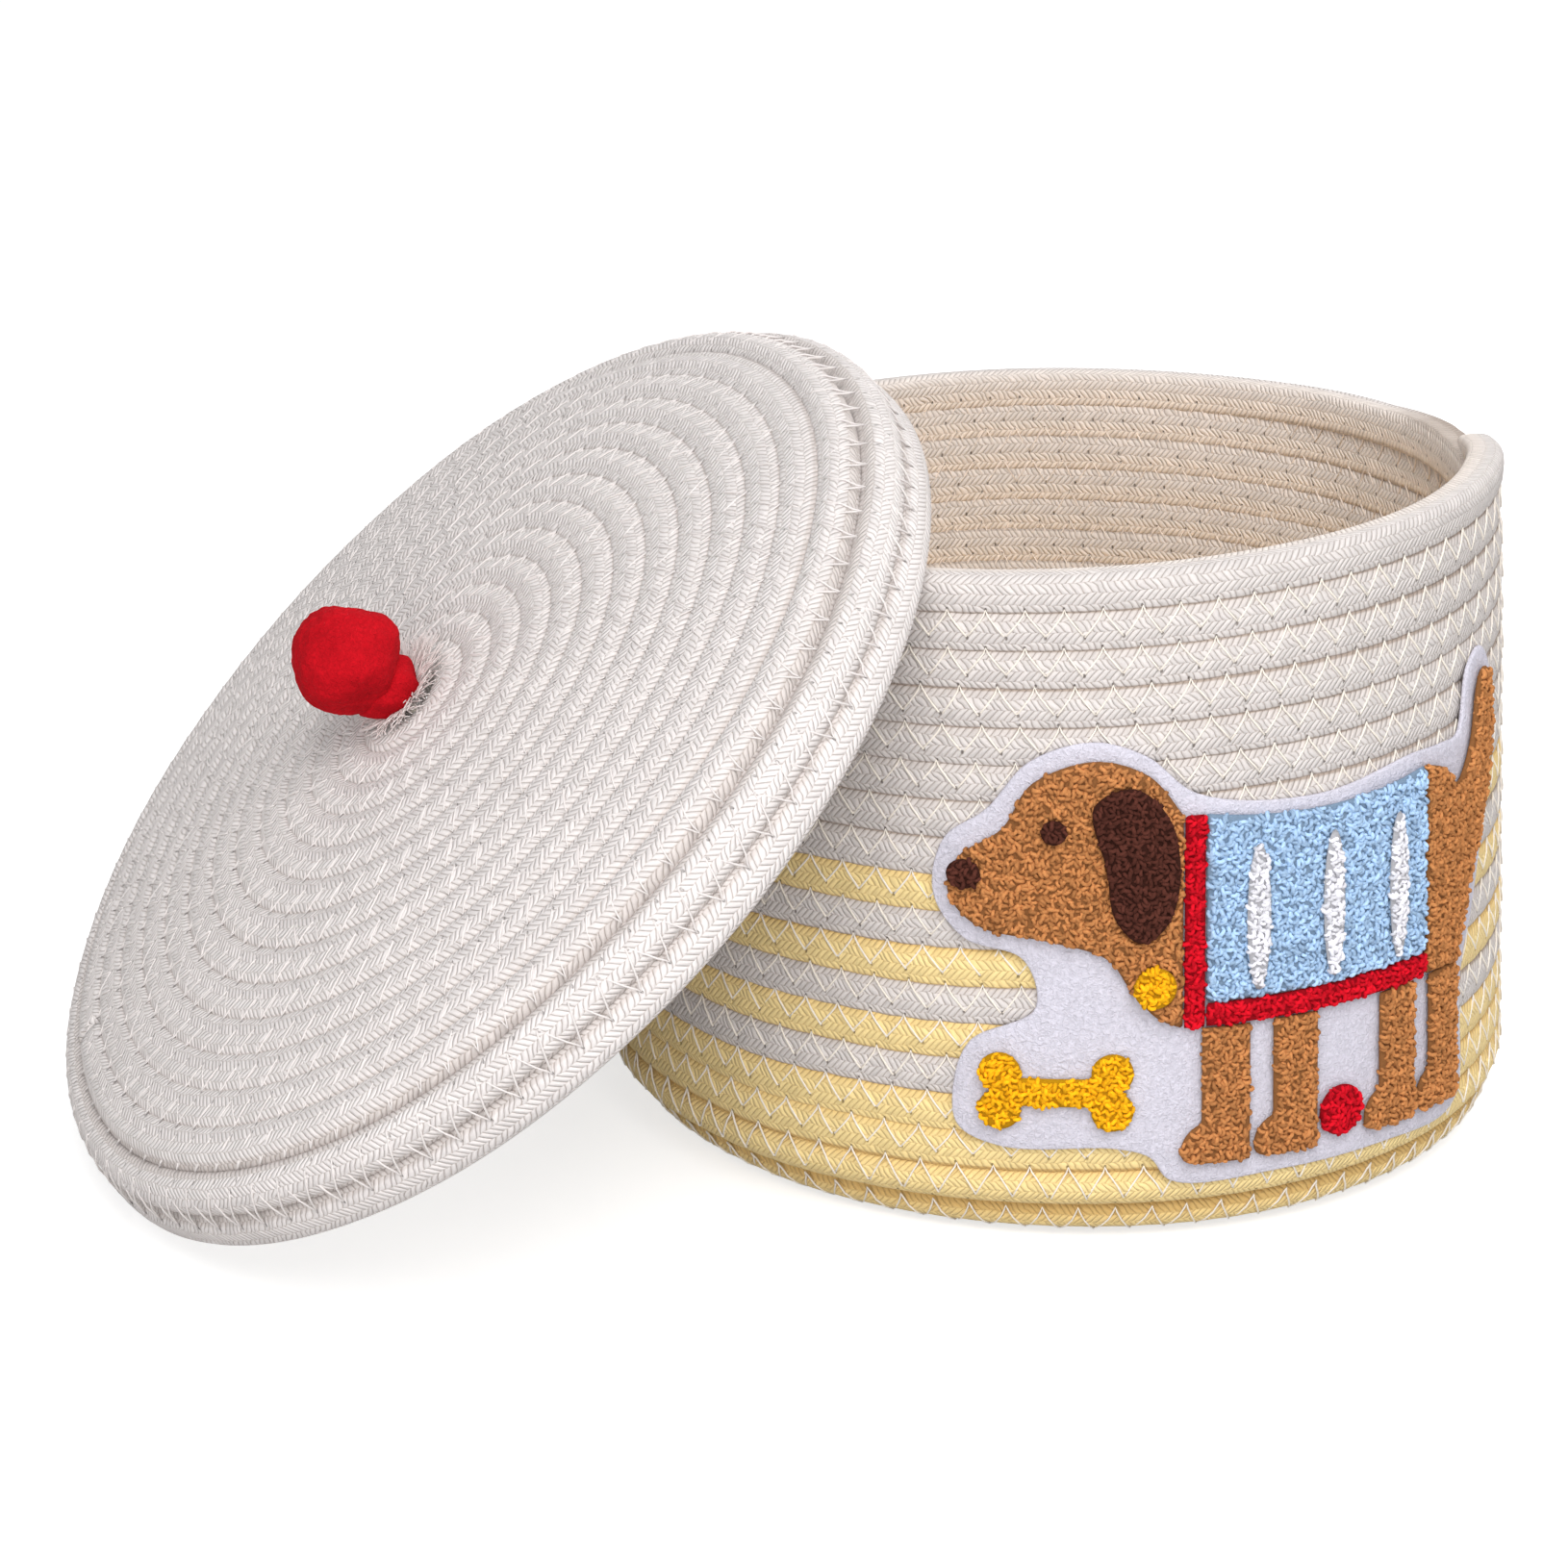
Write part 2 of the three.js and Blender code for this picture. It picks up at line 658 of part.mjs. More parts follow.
function legOutline(middle) {
  const top = BELLY - CLOTH_GAP;
  const ground = top - LEG_LENGTH;
  const half = LEG_WIDTH / 2;
  const front = middle - half;
  const toe = front - PAW_REACH;
  const leg = new THREE.Shape();
  leg.moveTo(middle + half, top);
  leg.lineTo(front, top);
  leg.lineTo(front, ground + PAW_HEIGHT);
  leg.quadraticCurveTo(toe, ground + 0.8 * PAW_HEIGHT, toe, ground + 0.3 * PAW_HEIGHT);
  leg.quadraticCurveTo(toe, ground, front, ground);
  leg.lineTo(middle + half, ground);
  return leg;
}
LEG_PLACES.forEach((middle, i) => addPile("leg_" + (i + 1), legOutline(middle), brownPile));

// A yellow bone below the head, two knobs at each end, and a red ball between the legs.
const boneOutline = new THREE.Shape();
const knobX = BONE_LENGTH / 2 - BONE_KNOB;
const atShaft = Math.asin((BONE_SPREAD - BONE_SHAFT / 2) / BONE_KNOB);
const atTip = Math.asin(BONE_SPREAD / BONE_KNOB);
for (const side of [1, -1]) {
  const x = BONE_X + side * knobX;
  const turn = side > 0 ? 0 : Math.PI;
  const [one, other] = [BONE_Y - side * BONE_SPREAD, BONE_Y + side * BONE_SPREAD];
  boneOutline.absarc(x, one, BONE_KNOB, turn + Math.PI - atShaft, turn + 2 * Math.PI + atTip, false);
  boneOutline.absarc(x, other, BONE_KNOB, turn - atTip, turn + Math.PI + atShaft, false);
}
addPile("bone_pile", boneOutline, yellowPile);
const toyX = (LEG_PLACES[1] + LEG_PLACES[2] - PAW_REACH) / 2;
addPile("toy_ball_pile", oval(toyX, BELLY - LEG_LENGTH + TOY_RADIUS + 1, TOY_RADIUS, TOY_RADIUS), redPile);

export default part;
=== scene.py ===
"""A round basket of sewn cotton rope with a loose domed lid and a dog figure in loop pile."""

import math

import bmesh
import bpy
import numpy as np
from mathutils import Matrix, Vector
from mathutils.geometry import delaunay_2d_cdt


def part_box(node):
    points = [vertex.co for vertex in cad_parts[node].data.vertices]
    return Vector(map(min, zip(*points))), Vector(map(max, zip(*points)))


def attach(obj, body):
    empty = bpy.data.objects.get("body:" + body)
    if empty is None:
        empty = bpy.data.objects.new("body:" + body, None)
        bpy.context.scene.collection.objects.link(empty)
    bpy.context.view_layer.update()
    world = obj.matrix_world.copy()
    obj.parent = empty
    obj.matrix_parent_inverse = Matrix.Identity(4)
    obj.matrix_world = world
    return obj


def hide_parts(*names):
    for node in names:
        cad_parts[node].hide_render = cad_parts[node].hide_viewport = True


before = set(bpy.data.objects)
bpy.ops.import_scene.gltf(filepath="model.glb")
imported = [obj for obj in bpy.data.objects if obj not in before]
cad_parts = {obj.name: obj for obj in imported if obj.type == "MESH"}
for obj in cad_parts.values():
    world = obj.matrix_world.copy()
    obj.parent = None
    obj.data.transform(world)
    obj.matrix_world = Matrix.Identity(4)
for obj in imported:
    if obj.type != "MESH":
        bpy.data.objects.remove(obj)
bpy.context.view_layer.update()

bl_info = {
    "name": "Dog basket",
    "version": (1, 0, 0),
    "blender": (4, 5, 0),
    "location": "3D View > Sidebar > Dog basket",
    "description": "Rope basket with a domed lid, a felt ball and a dog figure",
    "category": "Object",
}

MM = 0.001

# How the wound ropes run, the same for basket and lid: one loop turns clockwise from above.
LOOP_TURN = -2 * math.pi

# The rope's section: its points, its power where it goes round a bend, the power that flattens
# its inner side, and how far along a stitch the needle hole lies.
SECTION_POINTS = 21
BENT_POWER = 2.1
INSIDE_POWER = 0.6
HOLE_SHIFT = 0.53

# How long each rope's two ends are rounded off.
ROPE_TIPS = (0.9 * MM, 0.9 * MM)
RIM_TIPS = (8 * MM, 1 * MM)
BASE_TIPS = (1 * MM, 2 * MM)
SKIRT_TIPS = (6 * MM, 1 * MM)
CROWN_TIPS = (1 * MM, 3 * MM)

# The wall's ropes: CAD node, first and last loop counted down from the rim, and finish. The first
# starts just past the count of 0, and has no row above it up to FREE_LOOPS.
ROPE_START = 0.02
FREE_LOOPS = 0.96
WALL_ROPES = [
    ("upper_white_rope", ROPE_START, 8, "white_rope"),
    ("yellow_row_1", 8, 9, "yellow_rope"),
    ("white_row_1", 9, 10, "white_rope"),
    ("yellow_row_2", 10, 11, "yellow_rope"),
    ("white_row_2", 11, 12, "white_rope"),
    ("yellow_row_3", 12, 13, "yellow_rope"),
    ("white_row_3", 13, 14, "white_rope"),
    ("lower_yellow_rope", 14, 16, "yellow_rope"),
]
LOWER_LOOP = 16

# Loops left open in the base's middle, sewn in the base, and left unsewn by the lid's eye.
BASE_EYE = 0.55
BASE_ROWS_SEWN = 9.5
LID_ROWS_UNSEWN = 1.6

# The hand-sewn ball sits a little off its middle, down the lid's slope. It is cut by soft facets
# and flattened towards the lid, and its lumps are waves in three sizes: their count, rate and
# height. Its neck is a profile of radius and rise, in mm.
BALL_SHIFT = 1.5 * MM
BALL_SHARE = 0.955
FLAT_FOOT = 0.10
FACETS = 11
FACET_DEPTHS = (0.88, 0.96)
FACET_POWER = 14
BALL_LUMPS = [(6, 1.6, 0.012), (10, 9, 0.004), (12, 24, 0.0022)]
NECK_PROFILE = [
    (0.4, 0.6), (5.2, 0.6), (6.4, 1.4), (7.0, 2.6), (7.8, 4.0), (8.5, 5.6), (8.8, 7.0), (8.4, 8.6),
]
NECK_SIDES = 40
NECK_FOLDS = 7

# The frayed end: half its fibres stand in a tuft in one direction, and half in a ring. The
# ranges are their reach and their rise, in mm.
FIBRES = 420
TUFT_TURN = math.radians(62)
TUFT_RANGES = (11.0, 18.5), (0.6, 5.0)
RING_RANGES = (8.5, 13.5), (0.2, 3.0)

# The knot under the lid: the turns of its thread and their points, its radius and height in mm.
KNOT_TURNS = 3
KNOT_POINTS = 90
KNOT_RADIUS = 2.1
KNOT_HEIGHT = 4.6

# How thick the pile's woven ground is, and the painted shade that darkens it beside its loops.
GROUND_SHARE = 0.72
GROUND_SHADE = -0.5

# How the rows shift where the rope ends on the rim: which row, counted down, how far the shift
# reaches before and after the end, in loops, and the shift up and out, in mm.
RIM_SHIFTS = [
    (0, 1.0, 0.09, -5.2, 1.2), (1, 0.16, 0.10, 2.4, -2.6), (2, 0.16, 0.12, 1.2, -0.6),
    (3, 0.16, 0.12, 0.4, 0.0),
]

# The dog's outlines, in squares of its drawing grid.
FELT_OUTLINE = [
    (-2.2, 3.75), (-3.4, 4.7), (-4.7, 5.1), (-6.2, 4.65), (-7.2, 3.5), (-8.2, 2.75),
    (-8.45, 1.4), (-7.7, 0.35), (-6.3, -0.1), (-6, -1.3), (-7.5, -2.15), (-7.9, -3.2),
    (-7.8, -4.3), (-6.8, -4.75), (-4.2, -4.75), (-3.3, -5), (-2.8, -5.6), (0, -5.65),
    (3, -5.65), (5.6, -5.65), (6.25, -5.2), (6.3, -2.4), (7, -0.8), (7.6, 0.8),
    (8.2, 2.7), (8.2, 4.6), (7.5, 5.35), (6.7, 5), (6.2, 3.6), (5.4, 3.55),
    (4, 3.6), (1, 3.3),
]
HEAD_CURVE = [
    (-3.4, 4.3), (-4.7, 4.7), (-6.1, 4.2), (-6.8, 3.1), (-7.8, 2.4), (-8.05, 1.5),
    (-7.3, 0.7), (-5.7, 0.4), (-4.4, 0), (-3.8, -0.8), (-3.2, -1.5),
]
EAR_OUTLINE = [
    (-4.7, 3.7), (-3.8, 4.1), (-3, 3.4), (-2.7, 2), (-3, 0.8), (-3.6, 0.4),
    (-4.2, 1), (-4.4, 2.2),
]
RUMP_CURVE = [
    (6.2, -0.7), (6.6, 0.2), (7.2, 1.3), (7.7, 2.8), (7.8, 4.4), (7.4, 4.9),
    (6.95, 4.5), (6.6, 3.3), (5.9, 2.5), (5.3, 3),
]
EYE_X = -5.6
EYE_Y = 3.1
NOSE_X = -7.65
NOSE_Y = 2.05

# The dog's other sizes: its face, coat, trim and stripes, and the tag under its neck.
EYE_RADIUS = 3 * MM
NOSE_WIDTH = 4 * MM
NOSE_HEIGHT = 3.6 * MM
COAT_FRONT = -20 * MM
COAT_REAR = 44 * MM
COAT_TOP = 33 * MM
COAT_SAG = 5 * MM
BELLY = -18 * MM
HEEL = 58 * MM
TRIM_WIDTH = 5 * MM
HEM_HEIGHT = 5.6 * MM
STRIPE_SPACING = 20 * MM
STRIPE_HALF = 3 * MM
TAG_DROP = 7 * MM
TAG_RADIUS = 5 * MM

# The legs, the toy ball and the bone.
LEG_PLACES = (-15 * MM, 3 * MM, 34 * MM, 52 * MM)
LEG_LENGTH = 33.5 * MM
LEG_HALF = 6 * MM
PAW_REACH = 5 * MM
PAW_HEIGHT = 10 * MM
TOY_PLACE = 16 * MM
TOY_RISE = 7.2 * MM
TOY_RADIUS = 6.2 * MM
BONE_X = -55 * MM
BONE_Y = -33 * MM
BONE_HALF = 18 * MM
SHAFT_HALF = 3.5 * MM
KNOB_RADIUS = 5 * MM
KNOB_SPREAD = 4.6 * MM

LAMP_AIM = (0, 0, 0.08)


def number(name, value, description, **settings):
    return bpy.props.FloatProperty(name=name, description=description, default=value, **settings)


def length(name, value, description):
    return number(name, value, description, precision=5, unit="LENGTH")


def angle(name, degrees, description):
    return number(name, math.radians(degrees), description, unit="ROTATION", subtype="ANGLE")


def lamp_power(name, value, description):
    return number(name, value, description, unit="POWER")


def colour(name, value, description):
    return bpy.props.FloatVectorProperty(
        name=name, description=description, default=value, size=3, min=0, max=1, subtype="COLOR"
    )


class RopeSizes(bpy.types.PropertyGroup):
    """The rope, its seams and the basket's wall."""

    pitch: length("Row pitch", 0.009, "Distance from one row of rope to the next")
    thickness: length("Rope thickness", 0.009, "Thickness of the rope across the wall")
    flank: length("Rope flank", 0.0032, "Flat side of a row where it meets its neighbour")
    rim_radius: length("Rim radius", 0.1095, "Radius of the rope's middle at the rim")
    foot_radius: length("Foot radius", 0.116, "Outer radius of the wall above the foot")
    wall_height: length("Wall height", 0.162, "Height of the basket's wall")
    foot_bend: length("Foot bend", 0.012, "Radius of the bend from base to wall")
    end_angle: angle("Rope end", 20, "Direction in which the rope ends on the rim")
    rim_slant: length("Rim slant", 0.0058, "Rise of the rim on the +X side")
    rim_sag: length("Rim sag", 0.0047, "Shift of the rim towards the lid")
    stitch: length("Stitch length", 0.0085, "Length of one zigzag stitch along the seam")
    thread: length("Sewing thread", 0.0005, "Thickness of the sewing thread")
    squash: length("Squashed half row", 0.0058, "Half width of a row, pressed into its neighbours")
    free_half: length("Free half row", 0.0043, "Half width of a row on its free side")
    bent_half: length("Bent half row", 0.0051, "Half width of a row that goes round a bend")
    roundness: number("Roundness", 3.0, "Power of the rope's section: 2 is round")


class LidSizes(bpy.types.PropertyGroup):
    """The domed lid, how it leans, and its felt ball."""

    radius: length("Lid radius", 0.133, "Outer radius of the lid")
    crown: length("Crown radius", 0.56, "Radius of the dome")
    shoulder: length("Shoulder bend", 0.009, "Radius of the bend from dome to skirt")
    skirt: length("Skirt", 0.012, "Height of the lid's straight edge")
    skirt_rows: bpy.props.IntProperty(
        name="Skirt rows", description="Rows of rope in the lid's edge", default=3
    )
    eye: length("Eye radius", 0.002, "Hole in the middle of the lid")
    tilt: angle("Tilt", 44.5, "Tilt of the lid as it leans on the rim")
    lean: angle("Lean direction", 206, "Direction in which the lid leans away")
    end_angle: angle("Lid rope end", 190, "Direction in which the lid's rope ends")
    ball: length("Ball diameter", 0.029, "Diameter of the felt ball")
    stalk: length("Ball stalk", 0.003, "Gap between the lid and the ball")


class FigureSizes(bpy.types.PropertyGroup):
    """The dog figure on the wall."""

    angle: angle("Figure angle", -61.5, "Direction in which the figure faces")
    height: length("Figure height", 0.074, "Height of the figure's drawing grid")
    grid: length("Drawing grid", 0.01, "One square of the figure's drawing grid")
    seat: length("Seat gap", 0.0003, "Gap between wall and felt")
    felt: length("Felt thickness", 0.0012, "Thickness of the felt backing")
    pile: length("Pile thickness", 0.0022, "Thickness of the pile's ground")
    patch: length("Patch thickness", 0.0015, "Thickness of the small patches")
    gap: length("Cloth gap", 0.00035, "Gap between one layer and the next")
    loop: length("Loop size", 0.0019, "Width of one loop of yarn")
    spacing: length("Loop spacing", 0.00122, "Distance between loops of yarn")


class Colours(bpy.types.PropertyGroup):
    """Colours of rope, felt, thread and yarn."""

    # white, lid_white and inside are copies of one undyed rope in different brightness, which
    # paint the light and shade each side gets: the wall's outside darkest, the lid lighter, the
    # inside lightest and warmest.
    white: colour("White rope", (0.655, 0.61, 0.59), "Undyed cotton rope")
    lid_white: colour("Lid rope", (0.73, 0.685, 0.67), "Undyed cotton rope of the lid")
    # Set lighter and warmer than the outside's white: painted bounce light inside the basket.
    inside: colour("White rope inside", (1.0, 0.86, 0.745), "Undyed rope inside the basket")
    # seam and ochre are painted shade colours: for the hollows of the strands, the grooves between
    # rows, the band under each row and the needle holes.
    seam: colour("White seam", (0.38, 0.28, 0.21), "Shade between white rows")
    yellow: colour("Yellow rope", (0.85, 0.66, 0.31), "Dyed cotton rope")
    ochre: colour("Yellow seam", (0.74, 0.46, 0.15), "Shade between yellow rows")
    thread: colour("Sewing thread", (0.92, 0.85, 0.76), "Cream sewing thread")
    lid_thread: colour("Lid thread", (0.78, 0.73, 0.71), "Sewing thread of the lid")
    felt: colour("Lilac felt", (0.62, 0.60, 0.68), "Backing of the figure")
    brown: colour("Brown yarn", (0.51, 0.215, 0.075), "Head, rump and legs")
    dark: colour("Dark brown yarn", (0.085, 0.026, 0.018), "Ear, eye and nose")
    blue: colour("Light blue yarn", (0.41, 0.58, 0.80), "Coat")
    cream: colour("Cream yarn", (0.86, 0.85, 0.90), "Stripes on the coat")
    gold: colour("Golden yarn", (0.95, 0.47, 0.01), "Bone and name tag")
    red: colour("Red yarn", (0.62, 0.006, 0.018), "Trim, hem and toy ball")
    ball: colour("Red felt", (0.45, 0.005, 0.011), "Felt ball on the lid")
    # Darker than the lid's rope of the same cotton: painted shade in the tuft.
    fray: colour("Frayed rope", (0.70, 0.63, 0.61), "Loose fibres of the rope's end")


class StageSettings(bpy.types.PropertyGroup):
    """Floor, lights and camera."""

    distance: length("Camera distance", 1.063, "Distance from camera to target")
    target: length("Target height", 0.08, "Height of the point that the camera circles")
    elevation: angle("Elevation", 19.13, "Height of the camera above the horizon")
    yaw: angle("Yaw", 3.83, "Turn of the view to the left")
    pitch: angle("Pitch", -0.36, "Turn of the view upwards")
    roll: angle("Roll", -2.27, "Turn of the view about its own line")
    lens: number("Lens", 95.13, "Focal length for a 36 mm sensor", unit="CAMERA")
    ambient: number("Ambient", 0.40, "Strength of the surrounding light")
    key: lamp_power("Key light", 18.0, "Power of the large lamp in front")
    fill: lamp_power("Fill light", 3.5, "Power of the lamp on the right")
    back: lamp_power("Back light", 13.0, "Power of the lamp behind")
    low: lamp_power("Low light", 8.5, "Power of the low lamp in front")


def rope():
    return bpy.context.scene.basket_rope


def lid():
    return bpy.context.scene.basket_lid


def figure():
    return bpy.context.scene.basket_figure


def colours():
    return bpy.context.scene.basket_colours


# Sections and paths of the wound ropes, in metres.


class SectionLine:
    """A line in the plane of radius and height, bent and straight in turn."""

    def __init__(self, radius, height, heading):
        self.parts = []
        self.end = (radius, height, heading)
        self.length = 0.0

    def straight(self, distance):
        return self.add(distance, 0.0, 0.0)

    def bend(self, bend_radius, turn):
        inner = bend_radius - rope().flank / 2
        return self.add(inner * abs(turn), math.copysign(1, turn), bend_radius)

    def add(self, distance, side, bend_radius):
        part = (self.length, self.end, side, bend_radius)
        self.parts.append(part)
        self.length += distance
        self.end = self.walk(part, np.array([self.length]))
        self.end = tuple(float(value[0]) for value in self.end)
        return self

    def walk(self, part, distances):
        start, (radius, height, heading), side, bend_radius = part
        walked = distances - start
        if side == 0:
            return (
                radius + walked * math.cos(heading),
                height + walked * math.sin(heading),
                np.full_like(walked, heading),
            )
        turned = heading + side * walked / (bend_radius - rope().flank / 2)
        return (
            radius + side * bend_radius * (np.sin(turned) - math.sin(heading)),
            height - side * bend_radius * (np.cos(turned) - math.cos(heading)),
            turned,
        )

    def at(self, distances):
        """Radius, height and heading at each distance along the line."""
        distances = np.asarray(distances, float)
        found = [np.array(v) for v in self.walk(self.parts[0], distances)]
        for part in self.parts[1:]:
            here = distances >= part[0]
            for kept, value in zip(found, self.walk(part, distances)):
                kept[here] = value[here]
        return found


def wall_lean():
    r = rope()
    return math.atan((r.foot_radius - r.rim_radius) / (r.wall_height - r.foot_bend))


def wall_line():
    r = rope()
    half = r.thickness / 2
    lean = wall_lean()
    line = SectionLine(r.foot_radius - half - r.foot_bend, half, 0.0)
    line.bend(r.foot_bend, math.pi / 2 + lean)
    top = r.wall_height + r.pitch / 2 - half
    line.straight((top - line.end[1]) / math.cos(lean))
    return line


def lid_line():
    r, c = rope(), lid()
    half = r.thickness / 2
    eye = c.eye + (r.pitch - 0.7 * MM) / 2
    share = c.shoulder / c.crown
    edge = (c.radius - half - c.shoulder - share * eye) / (1 - share)
    slope = math.asin((edge - eye) / c.crown)
    top = c.skirt + c.shoulder * math.cos(slope) + c.crown * (1 - math.cos(slope))
    line = SectionLine(eye, top, 0.0)
    line.bend(c.crown, -slope)
    line.bend(c.shoulder, slope - math.pi / 2)
    line.straight(c.skirt - half + r.pitch / 2)
    return line


def settle_wall(points):
    """The soft wall stands higher on the +X side and sags towards the lid."""
    r = rope()
    share = points[:, 2] / r.wall_height
    rise = r.rim_slant * points[:, 0] / r.rim_radius * share
    return np.column_stack([points[:, 0] - r.rim_sag * share, points[:, 1], points[:, 2] + rise])


def lid_top():
    """Height of the lid's upper side round its eye, before it leans."""
    return float(lid_line().at([0.0])[1][0]) + rope().thickness / 2


def lid_matrix():
    c = lid()
    low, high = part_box("pompom_ball")
    ball_height = lid_top() + c.stalk + c.ball / 2
    hinge = Vector((-math.sin(c.lean), math.cos(c.lean), 0))
    turn = Matrix.Rotation(c.tilt, 4, hinge)
    return Matrix.Translation((low + high) / 2) @ turn @ Matrix.Translation((0, 0, -ball_height))


def place_lid(points):
    m = np.array(lid_matrix())
    return points @ m[:3, :3].T + m[:3, 3]


def turn_lid(vectors):
    return vectors @ np.array(lid_matrix())[:3, :3].T


def downhill():
    """The direction down the leaning lid, along its surface."""
    c = lid()
    return turn_lid(np.array([[math.cos(c.lean), math.sin(c.lean), 0.0]]))[0]


def unit(vectors):
    return vectors / np.linalg.norm(vectors, axis=1, keepdims=True)


def ease(share):
    share = np.clip(share, 0, 1)
    return share * share * (3 - 2 * share)


class Winding:
    """A rope wound about an axis on one body, with its frames at any count of loops."""

    def __init__(self, body, line, end_angle, outside, place, turn, pulled=None):
        self.body = body
        self.line = line
        self.end_angle = end_angle
        self.outside = outside
        self.place = place
        self.turn = turn
        self.pulled = pulled
        self.loops = line.length / rope().pitch
        # The length walked at fine steps, from before the rope's end to past the base's middle.
        fine = np.linspace(-1, self.loops + 12, 8000)
        radius = self.centre_line(fine)[0]
        steps = np.diff(fine) * 2 * math.pi * np.maximum((radius[1:] + radius[:-1]) / 2, 0)
        self.fine, self.walked = fine, np.concatenate([[0], np.cumsum(steps)])

    def centre_line(self, loops):
        """Radius, height and heading, going on inwards past the line's start."""
        distance = self.line.length - loops * rope().pitch
        radius, height, heading = self.line.at(np.maximum(distance, 0))
        beyond = np.minimum(distance, 0)
        return radius + beyond, height, heading

    def walk(self, loops):
        return np.interp(loops, self.fine, self.walked)

    def frames(self, loops, offset=0.0):
        """Points, cross directions towards the loop before, and outward directions."""
        radius, height, heading = self.centre_line(np.asarray(loops, float) + offset)
        turn = self.end_angle + np.asarray(loops) * LOOP_TURN
        radial = np.column_stack([np.cos(turn), np.sin(turn), np.zeros_like(turn)])
        up = np.array([[0.0, 0.0, 1.0]])
        points = radial * radius[:, None] + up * height[:, None]
        across = radial * np.cos(heading)[:, None] + up * np.sin(heading)[:, None]
        out = radial * np.sin(heading)[:, None] - up * np.cos(heading)[:, None]
        out = out * self.outside
        if self.pulled:
            share = np.clip(np.broadcast_to(offset, turn.shape), 0, 1)[:, None]
            moved = (1 - share) * self.pulled(loops) + share * self.pulled(loops + 1)
            points = points + across * moved[:, :1] + out * moved[:, 1:]
        return points, across, out

    def bent(self, loops):
        """0 where neighbouring rows lie flat, 1 where they go round a tight bend."""
        before, after = self.centre_line(loops - 0.5)[2], self.centre_line(loops + 0.5)[2]
        return ease(np.abs(after - before) / 0.6)


def sway(points, amount, seed):
    """A slow uneven shift of hand-wound rows, the same for neighbours."""
    rng = np.random.default_rng(seed)
    shift = np.zeros((len(points), 3))
    for _ in range(7):
        wave = rng.normal(size=3) * np.array([42.0, 42.0, 60.0])
        lean = unit(rng.normal(size=(1, 3)))
        phase = rng.uniform(0, 2 * math.pi)
        shift += np.sin(points @ wave + phase)[:, None] * lean * amount * 0.4
    return shift


# Meshes and node trees.


def linked(name, data):
    made = bpy.data.objects.new(name, data)
    bpy.context.scene.collection.objects.link(made)
    return made


def mesh_object(name, points, edges=(), faces=()):
    mesh = bpy.data.meshes.new(name)
    mesh.from_pydata([tuple(p) for p in points], [tuple(e) for e in edges], faces)
    return linked(name, mesh)


def give(mesh, name, values):
    """Stores one value for each point, a number or a vector, as a named attribute."""
    values = np.asarray(values, np.float32)
    kind, field = ("FLOAT", "value") if values.ndim == 1 else ("FLOAT_VECTOR", "vector")
    mesh.attributes.new(name, kind, "POINT").data.foreach_set(field, values.ravel())


def face_outward(made):
    bm = bmesh.new()
    bm.from_mesh(made.data)
    if bm.calc_volume(signed=True) < 0:
        bmesh.ops.reverse_faces(bm, faces=bm.faces)
    bm.to_mesh(made.data)
    bm.free()


def smooth(made):
    made.data.shade_smooth()
    return made


class Value:
    """A value in a node tree. Arithmetic with it adds the nodes that work it out."""

    def __init__(self, tree, socket):
        self.tree = tree
        self.socket = socket

    def __add__(self, other):
        return self.tree.math("ADD", self, other)

    def __radd__(self, other):
        return self.tree.math("ADD", other, self)

    def __sub__(self, other):
        return self.tree.math("SUBTRACT", self, other)

    def __rsub__(self, other):
        return self.tree.math("SUBTRACT", other, self)

    def __mul__(self, other):
        return self.tree.math("MULTIPLY", self, other)

    def __truediv__(self, other):
        return self.tree.math("DIVIDE", self, other)

    def __rtruediv__(self, other):
        return self.tree.math("DIVIDE", other, self)


class Tree:
    """Adds nodes to a node tree, and links them as they are added."""

    def __init__(self, tree):
        self.tree = tree

    def put(self, value, socket):
        """Links a value to a socket, or sets it there."""
        if isinstance(value, Value):
            self.tree.links.new(value.socket, socket)
        else:
            socket.default_value = value

    def add(self, kind, inputs=None, **settings):
        made = self.tree.nodes.new(kind)
        for name, value in settings.items():
            setattr(made, name, value)
        for key, value in (inputs or {}).items():
            self.put(value, made.inputs[key])
        return made

    def node(self, kind, inputs=None, output=0, **settings):
        """Adds a node and returns one of its outputs."""
        return Value(self, self.add(kind, inputs, **settings).outputs[output])

    def values(self, node):
        """All outputs of a node, by name."""
        return {output.name: Value(self, output) for output in node.outputs}

    def math(self, operation, *values):
        return self.node("ShaderNodeMath", dict(enumerate(values)), operation=operation)

    def split(self, vector):
        return list(self.values(self.add("ShaderNodeSeparateXYZ", {0: vector})).values())

    def join(self, x, y, z):
        return self.node("ShaderNodeCombineXYZ", {0: x, 1: y, 2: z})

    def ramp(self, value, low, high):
        """A smooth step of the value: 0 at low, 1 at high."""
        inputs = {"Value": value, "From Min": low, "From Max": high}
        return self.node("ShaderNodeMapRange", inputs, interpolation_type="SMOOTHSTEP")

    def noise(self, vector, scale, detail, distortion=0.0):
        inputs = {"Vector": vector, "Scale": scale, "Detail": detail, "Distortion": distortion}
        return self.node("ShaderNodeTexNoise", inputs)


